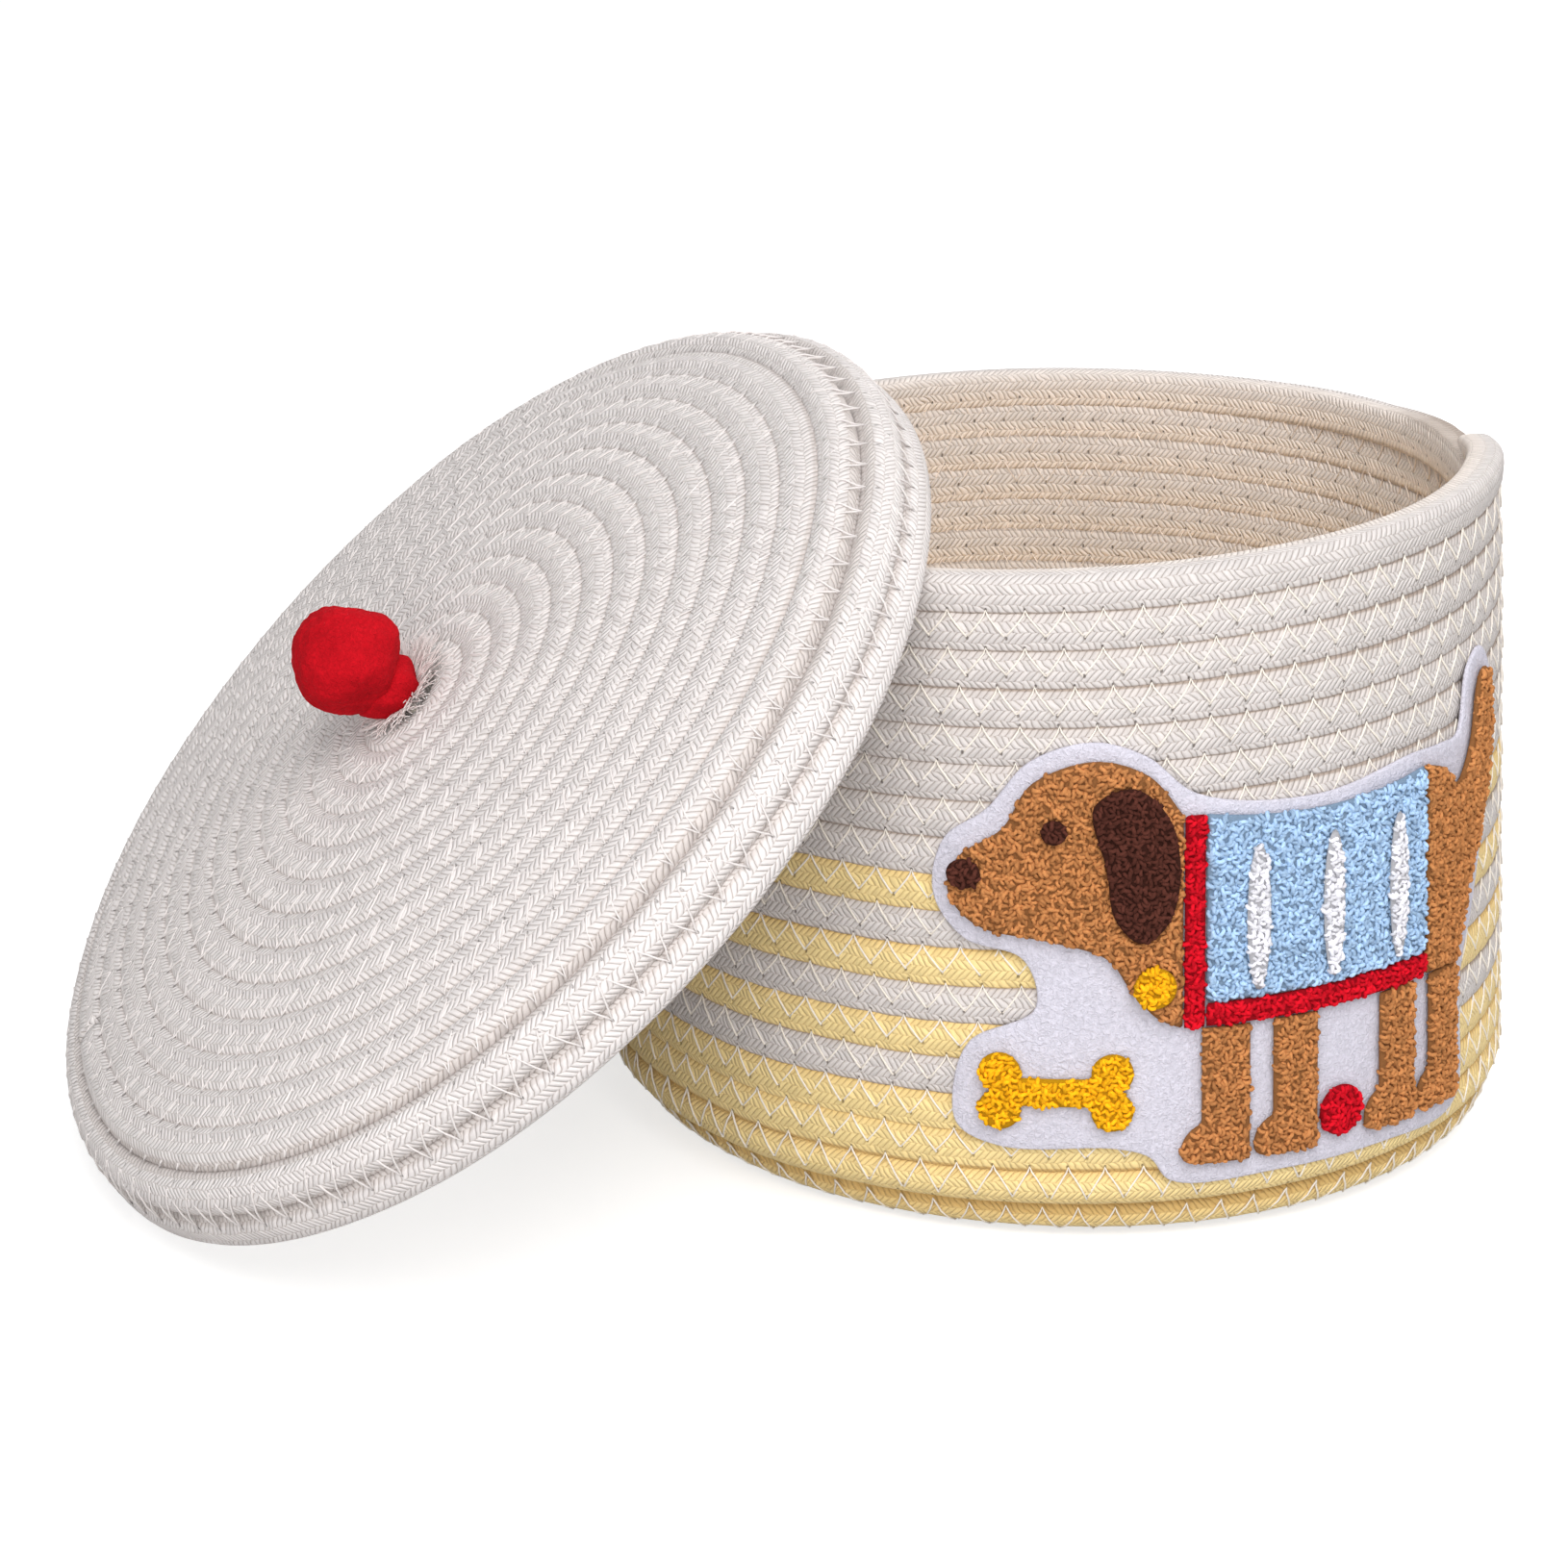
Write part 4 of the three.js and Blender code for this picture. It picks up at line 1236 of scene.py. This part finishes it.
def catmull(places, closed, power, steps=8):
    """A smooth line through chosen places."""
    places = np.asarray(places, float)
    count = len(places)
    made = []
    for i in range(count if closed else count - 1):
        near = [i + k for k in (-1, 0, 1, 2)]
        if closed:
            near = [k % count for k in near]
        p0, p1, p2, p3 = places[np.clip(near, 0, count - 1)]
        pairs = ((p0, p1), (p1, p2), (p2, p3))
        a, b, c = (max(np.linalg.norm(q - p), 1e-9) ** power for p, q in pairs)
        t1 = ((p1 - p0) / a - (p2 - p0) / (a + b) + (p2 - p1) / b) * b
        t2 = ((p2 - p1) / b - (p3 - p1) / (b + c) + (p3 - p2) / c) * b
        for k in range(steps):
            s = k / steps
            h = (2 * s**3 - 3 * s**2 + 1, s**3 - 2 * s**2 + s, 3 * s**2 - 2 * s**3, s**3 - s**2)
            made.append(h[0] * p1 + h[1] * t1 + h[2] * p2 + h[3] * t2)
    return np.array(made if closed else [*made, places[-1]])


def even_outline(outline, step):
    """The same closed outline with points at even steps."""
    ring = np.vstack([outline, outline[:1]])
    walked = np.concatenate([[0], np.cumsum(np.linalg.norm(np.diff(ring, axis=0), axis=1))])
    count = max(8, round(walked[-1] / step))
    at = np.arange(count) / count * walked[-1]
    return np.column_stack([np.interp(at, walked, ring[:, k]) for k in (0, 1)])


def signed_area(outline):
    ends = np.roll(outline, -1, axis=0)
    return np.sum(outline[:, 0] * ends[:, 1] - outline[:, 1] * ends[:, 0]) / 2


def edge_distance(points, outline):
    """Distance of each point to a closed outline."""
    least = np.full(len(points), np.inf)
    for a, b in zip(outline, np.roll(outline, -1, axis=0)):
        along = b - a
        share = np.clip((points - a) @ along / max(along @ along, 1e-18), 0, 1)
        least = np.minimum(least, np.linalg.norm(points - a - share[:, None] * along, axis=1))
    return least


def inside_outline(points, outline):
    crossings = np.zeros(len(points), int)
    for (ax, ay), (bx, by) in zip(outline, np.roll(outline, -1, axis=0)):
        spans = (ay > points[:, 1]) != (by > points[:, 1])
        rise = by - ay if abs(by - ay) > 1e-15 else 1e-15
        crossings += spans & (points[:, 0] < ax + (points[:, 1] - ay) * (bx - ax) / rise)
    return crossings % 2 == 1


def pad(name, outline, inner, thickness, rounding, grid):
    """A closed piece of cloth of an outline, rounded at its edge and wrapped on the wall."""
    outline = even_outline(outline, min(grid, 1.2 * MM))
    low, high = outline.min(0), outline.max(0)
    xs, ys = np.arange(low[0], high[0], grid), np.arange(low[1], high[1], grid)
    field = np.array([(x + (grid / 2 if k % 2 else 0), y) for k, y in enumerate(ys) for x in xs])
    field = field[inside_outline(field, outline)]
    ahead = np.roll(outline, -1, axis=0) - np.roll(outline, 1, axis=0)
    inward = unit(np.column_stack([-ahead[:, 1], ahead[:, 0]]))
    inward = inward * math.copysign(1, signed_area(outline))
    # Rings of points follow the edge, where the cloth is rounded.
    shares = (0.12, 0.4, 0.8)
    extra = np.vstack([outline + inward * rounding * share for share in shares])
    wanted = np.repeat(shares, len(outline)) * rounding
    extra = extra[(edge_distance(extra, outline) > wanted * 0.93) & inside_outline(extra, outline)]
    field = field[edge_distance(field, outline) > rounding * 0.8 + grid * 0.4]
    flat = np.vstack([outline, extra, field])
    edges = [(i, (i + 1) % len(outline)) for i in range(len(outline))]
    found = delaunay_2d_cdt([Vector(p) for p in flat], edges, [], 1, 1e-9)
    flat = np.array([tuple(p) for p in found[0]])
    faces = [tuple(face) for face in found[2]]
    gap = edge_distance(flat, outline)
    gap[gap < 1e-6] = 0
    rise = np.sqrt(np.maximum(1 - (1 - np.clip(gap / rounding, 0, 1)) ** 2, 0))
    middle = inner + thickness / 2
    loose = np.nonzero(gap > 0)[0]
    under = np.arange(len(flat))
    under[loose] = len(flat) + np.arange(len(loose))
    top = wrap_on_wall(flat, middle + rise * thickness / 2)
    bottom = wrap_on_wall(flat[loose], (middle - rise * thickness / 2)[loose])
    faces += [tuple(int(under[v]) for v in reversed(face)) for face in faces]
    made = mesh_object(name, np.vstack([top, bottom]), faces=faces)
    face_outward(made)
    return smooth(made), outline


def loop_shape():
    """One loop of yarn: a plump arch that turns back into the ground."""
    size = figure().loop
    line = []
    for k in range(7):
        turn = math.pi * (1.1 * k / 6 - 0.05)
        lean = 0.12 * size * math.sin(2 * turn)
        line.append((math.cos(turn) * size * 0.38, lean, math.sin(turn) * size * 0.60))
    points, faces = tube(line, size * 0.23, 6)
    return smooth(mesh_object("yarn_loop", points, faces=faces))


def loop_points(name, outline, inner, thickness, seed):
    """Even but irregular places for loops inside an outline."""
    g = figure()
    rng = np.random.default_rng(seed)
    low, high = outline.min(0), outline.max(0)
    step, margin, rounding = g.spacing, 0.45 * MM, 1.6 * MM
    row_step = step * 0.87
    places = []
    for k, y in enumerate(np.arange(low[1], high[1] + step, row_step)):
        xs = np.arange(low[0], high[0] + step, step) + (step / 2 if k % 2 else 0)
        places.append(np.column_stack([xs, np.full(len(xs), y)]))
    flat = np.vstack(places)
    flat = flat + rng.uniform(-0.40, 0.40, flat.shape) * step
    flat = flat[inside_outline(flat, outline)]
    gap = edge_distance(flat, outline)
    flat, gap = flat[gap > margin], gap[gap > margin]
    rise = np.sqrt(1 - (1 - np.clip(gap / rounding, 0, 1)) ** 2)
    height = inner + thickness * (0.5 + 0.5 * rise) - g.loop * 0.33
    height = height + rng.uniform(-0.22, 0.12, len(height)) * MM
    nudge = 0.1 * MM
    points = wrap_on_wall(flat, height)
    carrier = mesh_object(name, points)
    give(carrier.data, "along", unit(wrap_on_wall(flat + [nudge, 0], height) - points))
    give(carrier.data, "out", unit(wrap_on_wall(flat, height + nudge) - points))
    return carrier


def join(made, other):
    """Makes the other part of the first object."""
    with bpy.context.temp_override(
        active_object=made, selected_editable_objects=[made, other], object=made
    ):
        bpy.ops.object.join()


def pile(node, outline, kind, on_top, seed):
    """A piece of looped pile: its ground and its loops, as one piece."""
    g = figure()
    inner, thickness = g.seat + g.felt + g.gap, g.pile
    if on_top:
        inner, thickness = inner + g.pile + g.gap, g.patch
    rounding = min(1.4 * MM, thickness * 0.8)
    thickness *= GROUND_SHARE
    ground, fine = pad(node + "_piece", outline, inner, thickness, rounding, grid=2.2 * MM)
    ground.data.materials.append(finish(kind))
    # The ground's low tint is painted shade between the loops.
    give(ground.data, "tint", np.full(len(ground.data.vertices), GROUND_SHADE))
    carrier = loop_points(node + "_loops", fine, inner, thickness, seed)
    values = {"Shape": bpy.data.objects["yarn_loop"], "Uneven": 0.22, "Seed": seed}
    values["Material"] = finish(kind)
    join(ground, grow(carrier, tree_named("loops", pile_tree), values, node + "_loops"))
    fit(ground, "basket", kind, node)


def oval(x, y, half_width, half_height):
    turn = np.linspace(0, 2 * math.pi, 48, endpoint=False)
    return np.column_stack([x + half_width * np.cos(turn), y + half_height * np.sin(turn)])


def rectangle(left, bottom, right, top):
    return np.array([(left, bottom), (right, bottom), (right, top), (left, top)], float)


def bezier(a, b, c, steps):
    share = np.linspace(0, 1, steps + 1)[:, None]
    a, b, c = (np.array(p, float) for p in (a, b, c))
    return (1 - share) ** 2 * a + 2 * share * (1 - share) * b + share**2 * c


def outlines():
    """The dog's outlines in metres, with the names of their CAD nodes."""
    grid, gap = figure().grid, figure().gap
    front, rear, top, belly = COAT_FRONT, COAT_REAR, COAT_TOP, BELLY
    trim_front = front - gap - TRIM_WIDTH
    neck = trim_front - gap
    hem_top = belly + HEM_HEIGHT
    middle = (front + rear) / 2
    rump_front = rear + gap
    head = [(neck, top), *((x * grid, y * grid) for x, y in HEAD_CURVE), (neck, belly)]
    rump = [(HEEL, belly), *((x * grid, y * grid) for x, y in RUMP_CURVE), (rump_front, top)]
    back = bezier((front, top), (middle, top - COAT_SAG), (rear, top), 24)
    coat = np.vstack([back, [(rear, hem_top + gap), (front, hem_top + gap)]])
    hind = np.vstack([catmull(rump, False, 0), [(rump_front, belly)]])
    stripe_middle = (hem_top + top - COAT_SAG) / 2
    stripe_reach = (top - hem_top) / 2 - COAT_SAG
    made = {
        "head_pile": (catmull(head, False, 0), "brown", False),
        "coat_pile": (coat, "blue", False),
        "coat_trim": (rectangle(trim_front, belly, front - gap, top), "red", False),
        "coat_hem": (rectangle(front, belly, rear, hem_top), "red", False),
        "rump_and_tail": (hind, "brown", False),
        "ear_patch": (catmull(np.array(EAR_OUTLINE) * grid, True, 0.5), "dark", True),
        "eye_patch": (oval(EYE_X * grid, EYE_Y * grid, EYE_RADIUS, EYE_RADIUS), "dark", True),
        "nose_patch": (oval(NOSE_X * grid, NOSE_Y * grid, NOSE_WIDTH, NOSE_HEIGHT), "dark", True),
        "name_tag_patch": (oval(neck - TAG_DROP, -TAG_DROP, TAG_RADIUS, TAG_RADIUS), "gold", True),
    }
    for i, side in enumerate((-1, 0, 1)):
        stripe = oval(middle + side * STRIPE_SPACING, stripe_middle, STRIPE_HALF, stripe_reach)
        made[f"coat_stripe_{i + 1}"] = (stripe, "cream", True)
    for i, place in enumerate(LEG_PLACES):
        made[f"leg_{i + 1}"] = (leg_outline(place, belly - gap), "brown", False)
    made["bone_pile"] = (bone_outline(), "gold", False)
    toy = oval(TOY_PLACE, belly - LEG_LENGTH + TOY_RISE, TOY_RADIUS, TOY_RADIUS)
    made["toy_ball_pile"] = (toy, "red", False)
    return made


def leg_outline(middle, top):
    """A straight leg with a rounded paw in front."""
    ground, front, back = top - LEG_LENGTH, middle - LEG_HALF, middle + LEG_HALF
    toe = front - PAW_REACH
    knuckle, instep = ground + 0.3 * PAW_HEIGHT, ground + 0.8 * PAW_HEIGHT
    upper = bezier((front, ground + PAW_HEIGHT), (toe, instep), (toe, knuckle), 8)
    lower = bezier((toe, knuckle), (toe, ground), (front, ground), 8)
    return np.vstack([[(back, top), (front, top)], upper, lower[1:], [(back, ground)]])


def bone_outline():
    """A bone with two round knobs at each end."""
    at_shaft = math.asin((KNOB_SPREAD - SHAFT_HALF) / KNOB_RADIUS)
    at_tip = math.asin(KNOB_SPREAD / KNOB_RADIUS)
    made = []
    for side, turn in ((1, 0.0), (-1, math.pi)):
        x = BONE_X + side * (BONE_HALF - KNOB_RADIUS)
        for up, start, stop in (
            (-side, turn + math.pi - at_shaft, turn + 2 * math.pi + at_tip),
            (side, turn - at_tip, turn + math.pi + at_shaft),
        ):
            y = BONE_Y + up * KNOB_SPREAD
            for a in np.linspace(start, stop, 17):
                made.append((x + KNOB_RADIUS * math.cos(a), y + KNOB_RADIUS * math.sin(a)))
    return np.array(made)


# Operators, one for each piece or group of like pieces.


class Piece(bpy.types.Operator):
    """Shared by the operators that make the pieces."""

    bl_options = {"REGISTER", "UNDO"}


class BASKET_OT_wall(Piece):
    """Wind the basket's wall, row by row, in white and yellow rope."""

    bl_idname = "basket.wall"
    bl_label = "Wall"

    def execute(self, context):
        winding = wall_winding()
        for node, first, last, kind in WALL_ROPES:
            tips = RIM_TIPS if first == ROPE_START else ROPE_TIPS
            make_rope(node + "_piece", node, winding, first, last, kind, tips)
        return {"FINISHED"}


class BASKET_OT_base(Piece):
    """Wind the foot and the flat base in yellow rope."""

    bl_idname = "basket.base"
    bl_label = "Base"

    def execute(self, context):
        r = rope()
        winding = wall_winding()
        middle = winding.loops + (r.foot_radius - r.thickness / 2 - r.foot_bend) / r.pitch
        spans = [
            ("foot_rope_piece", "foot_rope", LOWER_LOOP, winding.loops),
            ("base_rope_piece", "base_disc", winding.loops, middle - BASE_EYE),
        ]
        for name, node, first, last in spans:
            make_rope(name, node, winding, first, last, "yellow_rope", BASE_TIPS, step=2.0 * MM)
        return {"FINISHED"}


class BASKET_OT_wall_stitches(Piece):
    """Sew the rows of the basket together with zigzag thread, outside and inside."""

    bl_idname = "basket.wall_stitches"
    bl_label = "Wall stitches"

    def execute(self, context):
        winding = wall_winding()
        wall = (winding, winding.loops + BASE_ROWS_SEWN)
        sew("wall_thread_outside", *wall, "thread", side=1, sink=0.06 * MM, seed=5)
        sew("wall_thread_inside", *wall, "inside_thread", side=-1, sink=0.16 * MM, seed=6)
        return {"FINISHED"}


class BASKET_OT_lid(Piece):
    """Wind the domed lid in white rope."""

    bl_idname = "basket.lid"
    bl_label = "Lid"

    def execute(self, context):
        winding = lid_winding()
        rows = lid().skirt_rows
        spans = [
            ("lid_skirt_rope", 0, rows, SKIRT_TIPS, 2.6),
            ("lid_crown_rope", rows, winding.loops, CROWN_TIPS, 3.0),
        ]
        for node, first, last, tips, power in spans:
            looks = {"tips": tips, "power": power, "pinch": 0.04}
            make_rope(node + "_piece", node, winding, first, last, "lid_rope", **looks)
        return {"FINISHED"}


class BASKET_OT_lid_stitches(Piece):
    """Sew the rows of the lid together with zigzag thread."""

    bl_idname = "basket.lid_stitches"
    bl_label = "Lid stitches"

    def execute(self, context):
        winding = lid_winding()
        crown = (winding, winding.loops - LID_ROWS_UNSEWN)
        sew("lid_thread_outside", *crown, "lid_thread", side=1, sink=0.18 * MM, seed=7)
        sew("lid_thread_inside", *crown, "inside_thread", side=-1, sink=0.12 * MM, seed=8)
        return {"FINISHED"}


class BASKET_OT_ball(Piece):
    """Felt the red ball, with its short neck on the lid."""

    bl_idname = "basket.ball"
    bl_label = "Felt ball"

    def execute(self, context):
        low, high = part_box("pompom_ball")
        radius = lid().ball / 2
        bm = bmesh.new()
        bmesh.ops.create_icosphere(bm, subdivisions=6, radius=1.0)
        rng = np.random.default_rng(4)
        lumps = []
        for count, rate, height in BALL_LUMPS:
            waves = [(rng.normal(size=3) * rate, rng.uniform(0, 6.28)) for _ in range(count)]
            lumps.append((waves, height))
        facets = []
        for _ in range(FACETS):
            facets.append((unit(rng.normal(size=(1, 3)))[0], rng.uniform(*FACET_DEPTHS)))
        normal = turn_lid(np.array([[0.0, 0.0, 1.0]]))[0]
        centre = np.array((low + high) / 2) + BALL_SHIFT * downhill()
        for v in bm.verts:
            n = np.array(v.co)
            cut = sum((max(n @ f, 0) / d) ** FACET_POWER for f, d in facets)
            size = (1.0 + cut) ** (-1 / FACET_POWER)
            for waves, height in lumps:
                size += sum(math.sin(n @ w + p) for w, p in waves) * height
            size *= 1 - FLAT_FOOT * max(-(n @ normal), 0)
            v.co = Vector(centre + n * size * radius * BALL_SHARE)
        mesh = bpy.data.meshes.new("pompom_ball_piece")
        bm.to_mesh(mesh)
        bm.free()
        fit(smooth(linked("pompom_ball_piece", mesh)), "pompom", "ball_felt", "pompom_ball")
        self.neck(radius)
        return {"FINISHED"}

    def neck(self, radius):
        """A short gathered neck of the same felt between ball and lid."""
        top = lid_top()
        middle = top + lid().stalk + radius
        profile = [(r * MM, top + rise * MM) for r, rise in NECK_PROFILE]
        profile.append((0.4 * MM, middle))
        points = []
        for r, z in profile:
            for k in range(NECK_SIDES):
                a = 2 * math.pi * k / NECK_SIDES
                ripple = 1 + 0.06 * math.sin(NECK_FOLDS * a + 400 * z) * (r > 1 * MM)
                lean = BALL_SHIFT * min((z - top) / (middle - top), 1)
                x = r * ripple * math.cos(a) + lean * math.cos(lid().lean)
                y = r * ripple * math.sin(a) + lean * math.sin(lid().lean)
                points.append((x, y, z))
        faces = ring_faces(len(profile), NECK_SIDES)
        made = mesh_object("ball_neck", place_lid(np.array(points)), faces=faces)
        face_outward(made)
        fit(smooth(made), "lid", "ball_felt")


class BASKET_OT_fray(Piece):
    """Spread the frayed rope end round the ball's foot and knot its thread."""

    bl_idname = "basket.fray"
    bl_label = "Frayed end"

    def execute(self, context):
        top = lid_top()
        rng = np.random.default_rng(12)
        points, faces = [], []
        for k in range(FIBRES):
            tuft = k % 2 == 0
            turn = rng.normal(TUFT_TURN, 0.5) if tuft else rng.uniform(0, 2 * math.pi)
            reaches, rises = TUFT_RANGES if tuft else RING_RANGES
            reach, rise = rng.uniform(*reaches) * MM, rng.uniform(*rises) * MM
            start = rng.uniform(1.0, 4.0) * MM
            bend = rng.normal() * 0.25
            s = np.arange(6) / 5
            r, a = start + (reach - start) * s, turn + bend * s * s
            z = top + 0.65 * MM + rise * s**1.6 * (1.45 - 0.45 * s * s)
            line = np.column_stack([r * np.cos(a), r * np.sin(a), z])
            ring, quads = tube(line, np.linspace(0.30, 0.12, 6) * MM, 4)
            faces += [tuple(v + len(points) for v in q) for q in quads]
            points += ring
        made = mesh_object("frayed_rope_end_piece", place_lid(np.array(points)), faces=faces)
        fit(smooth(made), "lid", "fray", "frayed_rope_end")
        self.knot(top)
        return {"FINISHED"}

    def knot(self, top):
        """The ball's thread through the eye, and its knot under the lid."""
        under = top - rope().thickness - 0.3 * MM
        line = [(0, 0, top + 4 * MM), (0.1 * MM, 0, top - 4 * MM), (0, 0.1 * MM, under + 0.5 * MM)]
        points, faces = tube(line, 1.2 * MM, 10)
        k = np.arange(KNOT_POINTS)
        share = k / (KNOT_POINTS - 1)
        a = share * KNOT_TURNS * 2 * math.pi
        bulge = KNOT_RADIUS * MM * np.sin(math.pi * (k + 8) / 105)
        z = under - 1.2 * MM - share * KNOT_HEIGHT * MM
        turns = np.column_stack([bulge * np.cos(a), bulge * np.sin(a), z])
        knot_points, knot_faces = tube(turns, 1.15 * MM, 8)
        faces += [tuple(v + len(points) for v in face) for face in knot_faces]
        points = place_lid(np.array(points + knot_points))
        made = smooth(mesh_object("ball_thread_piece", points, faces=faces))
        fit(made, "lid", "thread", "ball_thread")


class BASKET_OT_felt(Piece):
    """Cut the dog's felt backing."""

    bl_idname = "basket.felt"
    bl_label = "Felt backing"

    def execute(self, context):
        g = figure()
        outline = catmull(np.array(FELT_OUTLINE) * g.grid, True, 0.5)
        made, fine = pad(
            "felt_backing_piece", outline, g.seat, g.felt, rounding=0.55 * MM, grid=3.0 * MM
        )
        fit(made, "basket", "backing_felt", "felt_backing")
        size = tuple(float(v) for v in fine.max(0) - fine.min(0))
        area = float(abs(signed_area(fine)))
        return {"FINISHED"}


class BASKET_OT_dog(Piece):
    """Work the dog in loop pile on its felt."""

    bl_idname = "basket.dog"
    bl_label = "Dog figure"

    def execute(self, context):
        shape = loop_shape()
        for k, (node, (outline, kind, on_top)) in enumerate(outlines().items()):
            pile(node, outline, kind, on_top, seed=20 + k)
        bpy.data.objects.remove(shape)
        return {"FINISHED"}


def seen_straight(t):
    """1 for rays from the camera, and for those through gloss or glass."""
    path = t.values(t.add("ShaderNodeLightPath"))
    seen = t.math("MAXIMUM", path["Is Camera Ray"], path["Is Glossy Ray"])
    return t.math("MAXIMUM", seen, path["Is Transmission Ray"])


class BASKET_OT_stage(Piece):
    """Set up the floor, the lights and the camera."""

    bl_idname = "basket.stage"
    bl_label = "Stage"

    def execute(self, context):
        scene = context.scene
        s = scene.basket_stage
        scene.view_settings.view_transform = "Standard"
        self.floor()
        self.world(scene, s.ambient)
        self.lamp("lamp_front", (0.15, -1.05, 1.25), 1.0, s.key)
        self.lamp("lamp_right", (1.2, -0.5, 0.95), 0.9, s.fill)
        self.lamp("lamp_low", (-0.3, -1.4, 0.22), 0.8, s.low)
        self.lamp("lamp_behind", (0.5, 1.15, 1.1), 1.0, s.back)
        self.camera(scene, s)
        return {"FINISHED"}

    def floor(self):
        """A pale floor that shows as white to the camera and keeps a soft shadow."""
        corners = [(-4, -4, 0), (4, -4, 0), (4, 4, 0), (-4, 4, 0)]
        floor = mesh_object("floor", corners, faces=[(0, 1, 2, 3)])
        material = bpy.data.materials.new("pale_floor")
        material.use_nodes = True
        t = Tree(material.node_tree)
        t.tree.nodes.clear()
        plain = t.node("ShaderNodeBsdfDiffuse", {"Color": (0.58, 0.575, 0.57, 1)})
        white = t.node("ShaderNodeEmission", {"Color": (1, 1, 1, 1), "Strength": 0.68})
        both = t.node("ShaderNodeAddShader", {0: plain, 1: white})
        shown = t.node("ShaderNodeMixShader", {0: seen_straight(t), 1: plain, 2: both})
        t.put(shown, t.add("ShaderNodeOutputMaterial").inputs[0])
        floor.data.materials.append(material)

    def world(self, scene, ambient):
        """White to the camera, and a soft cool light to all else."""
        scene.world = bpy.data.worlds.new("studio")
        scene.world.use_nodes = True
        t = Tree(scene.world.node_tree)
        t.tree.nodes.clear()
        soft = t.node("ShaderNodeBackground", {"Color": (0.97, 0.98, 1, 1), "Strength": ambient})
        white = t.node("ShaderNodeBackground", {"Color": (1, 1, 1, 1), "Strength": 1.0})
        shown = t.node("ShaderNodeMixShader", {0: seen_straight(t), 1: soft, 2: white})
        t.put(shown, t.add("ShaderNodeOutputWorld").inputs[0])

    def lamp(self, name, place, size, power):
        light = bpy.data.lights.new(name, "AREA")
        light.shape = "SQUARE"
        light.size = size
        light.energy = power
        made = linked(name, light)
        made.location = place
        aim = Vector(LAMP_AIM) - Vector(place)
        made.rotation_euler = aim.to_track_quat("-Z", "Y").to_euler()

    def camera(self, scene, s):
        data = bpy.data.cameras.new("camera")
        data.lens = s.lens
        data.sensor_width = 36
        data.sensor_fit = "HORIZONTAL"
        data.clip_end = 20
        ahead = Vector((0, math.cos(s.elevation), -math.sin(s.elevation)))
        right = Vector((1, 0, 0))
        up = right.cross(ahead)
        turn = Matrix.Rotation(s.yaw, 3, up)
        ahead, right = turn @ ahead, turn @ right
        turn = Matrix.Rotation(s.pitch, 3, right)
        ahead, up = turn @ ahead, turn @ up
        turn = Matrix.Rotation(s.roll, 3, ahead)
        right, up = turn @ right, turn @ up
        stand = Matrix((right, up, -ahead)).transposed().to_4x4()
        above = s.target + s.distance * math.sin(s.elevation)
        stand.translation = (0, -s.distance * math.cos(s.elevation), above)
        scene.camera = linked("camera", data)
        scene.camera.matrix_world = stand


class BASKET_PT_panel(bpy.types.Panel):
    """Lists the basket's pieces."""

    bl_idname = "BASKET_PT_panel"
    bl_label = "Dog basket"
    bl_space_type = "VIEW_3D"
    bl_region_type = "UI"
    bl_category = "Dog basket"

    def draw(self, context):
        layout = self.layout
        for group in PROPERTY_GROUPS:
            box = layout.box()
            box.label(text=group.replace("basket_", "").capitalize())
            settings = getattr(context.scene, group)
            for name in settings.__annotations__:
                box.prop(settings, name)
        for piece in PIECES:
            layout.operator(piece.bl_idname)


PROPERTY_GROUPS = {
    "basket_rope": RopeSizes,
    "basket_lid": LidSizes,
    "basket_figure": FigureSizes,
    "basket_colours": Colours,
    "basket_stage": StageSettings,
}
PIECES = [
    BASKET_OT_stage,
    BASKET_OT_wall,
    BASKET_OT_base,
    BASKET_OT_wall_stitches,
    BASKET_OT_lid,
    BASKET_OT_lid_stitches,
    BASKET_OT_ball,
    BASKET_OT_fray,
    BASKET_OT_felt,
    BASKET_OT_dog,
]


def register():
    for name, group in PROPERTY_GROUPS.items():
        bpy.utils.register_class(group)
        setattr(bpy.types.Scene, name, bpy.props.PointerProperty(type=group))
    for piece in PIECES:
        bpy.utils.register_class(piece)
    bpy.utils.register_class(BASKET_PT_panel)


def unregister():
    bpy.utils.unregister_class(BASKET_PT_panel)
    for piece in reversed(PIECES):
        bpy.utils.unregister_class(piece)
    for name, group in PROPERTY_GROUPS.items():
        delattr(bpy.types.Scene, name)
        bpy.utils.unregister_class(group)


def main():
    register()
    for piece in PIECES:
        getattr(bpy.ops.basket, piece.bl_idname.split(".")[1])()


if __name__ == "__main__":
    main()
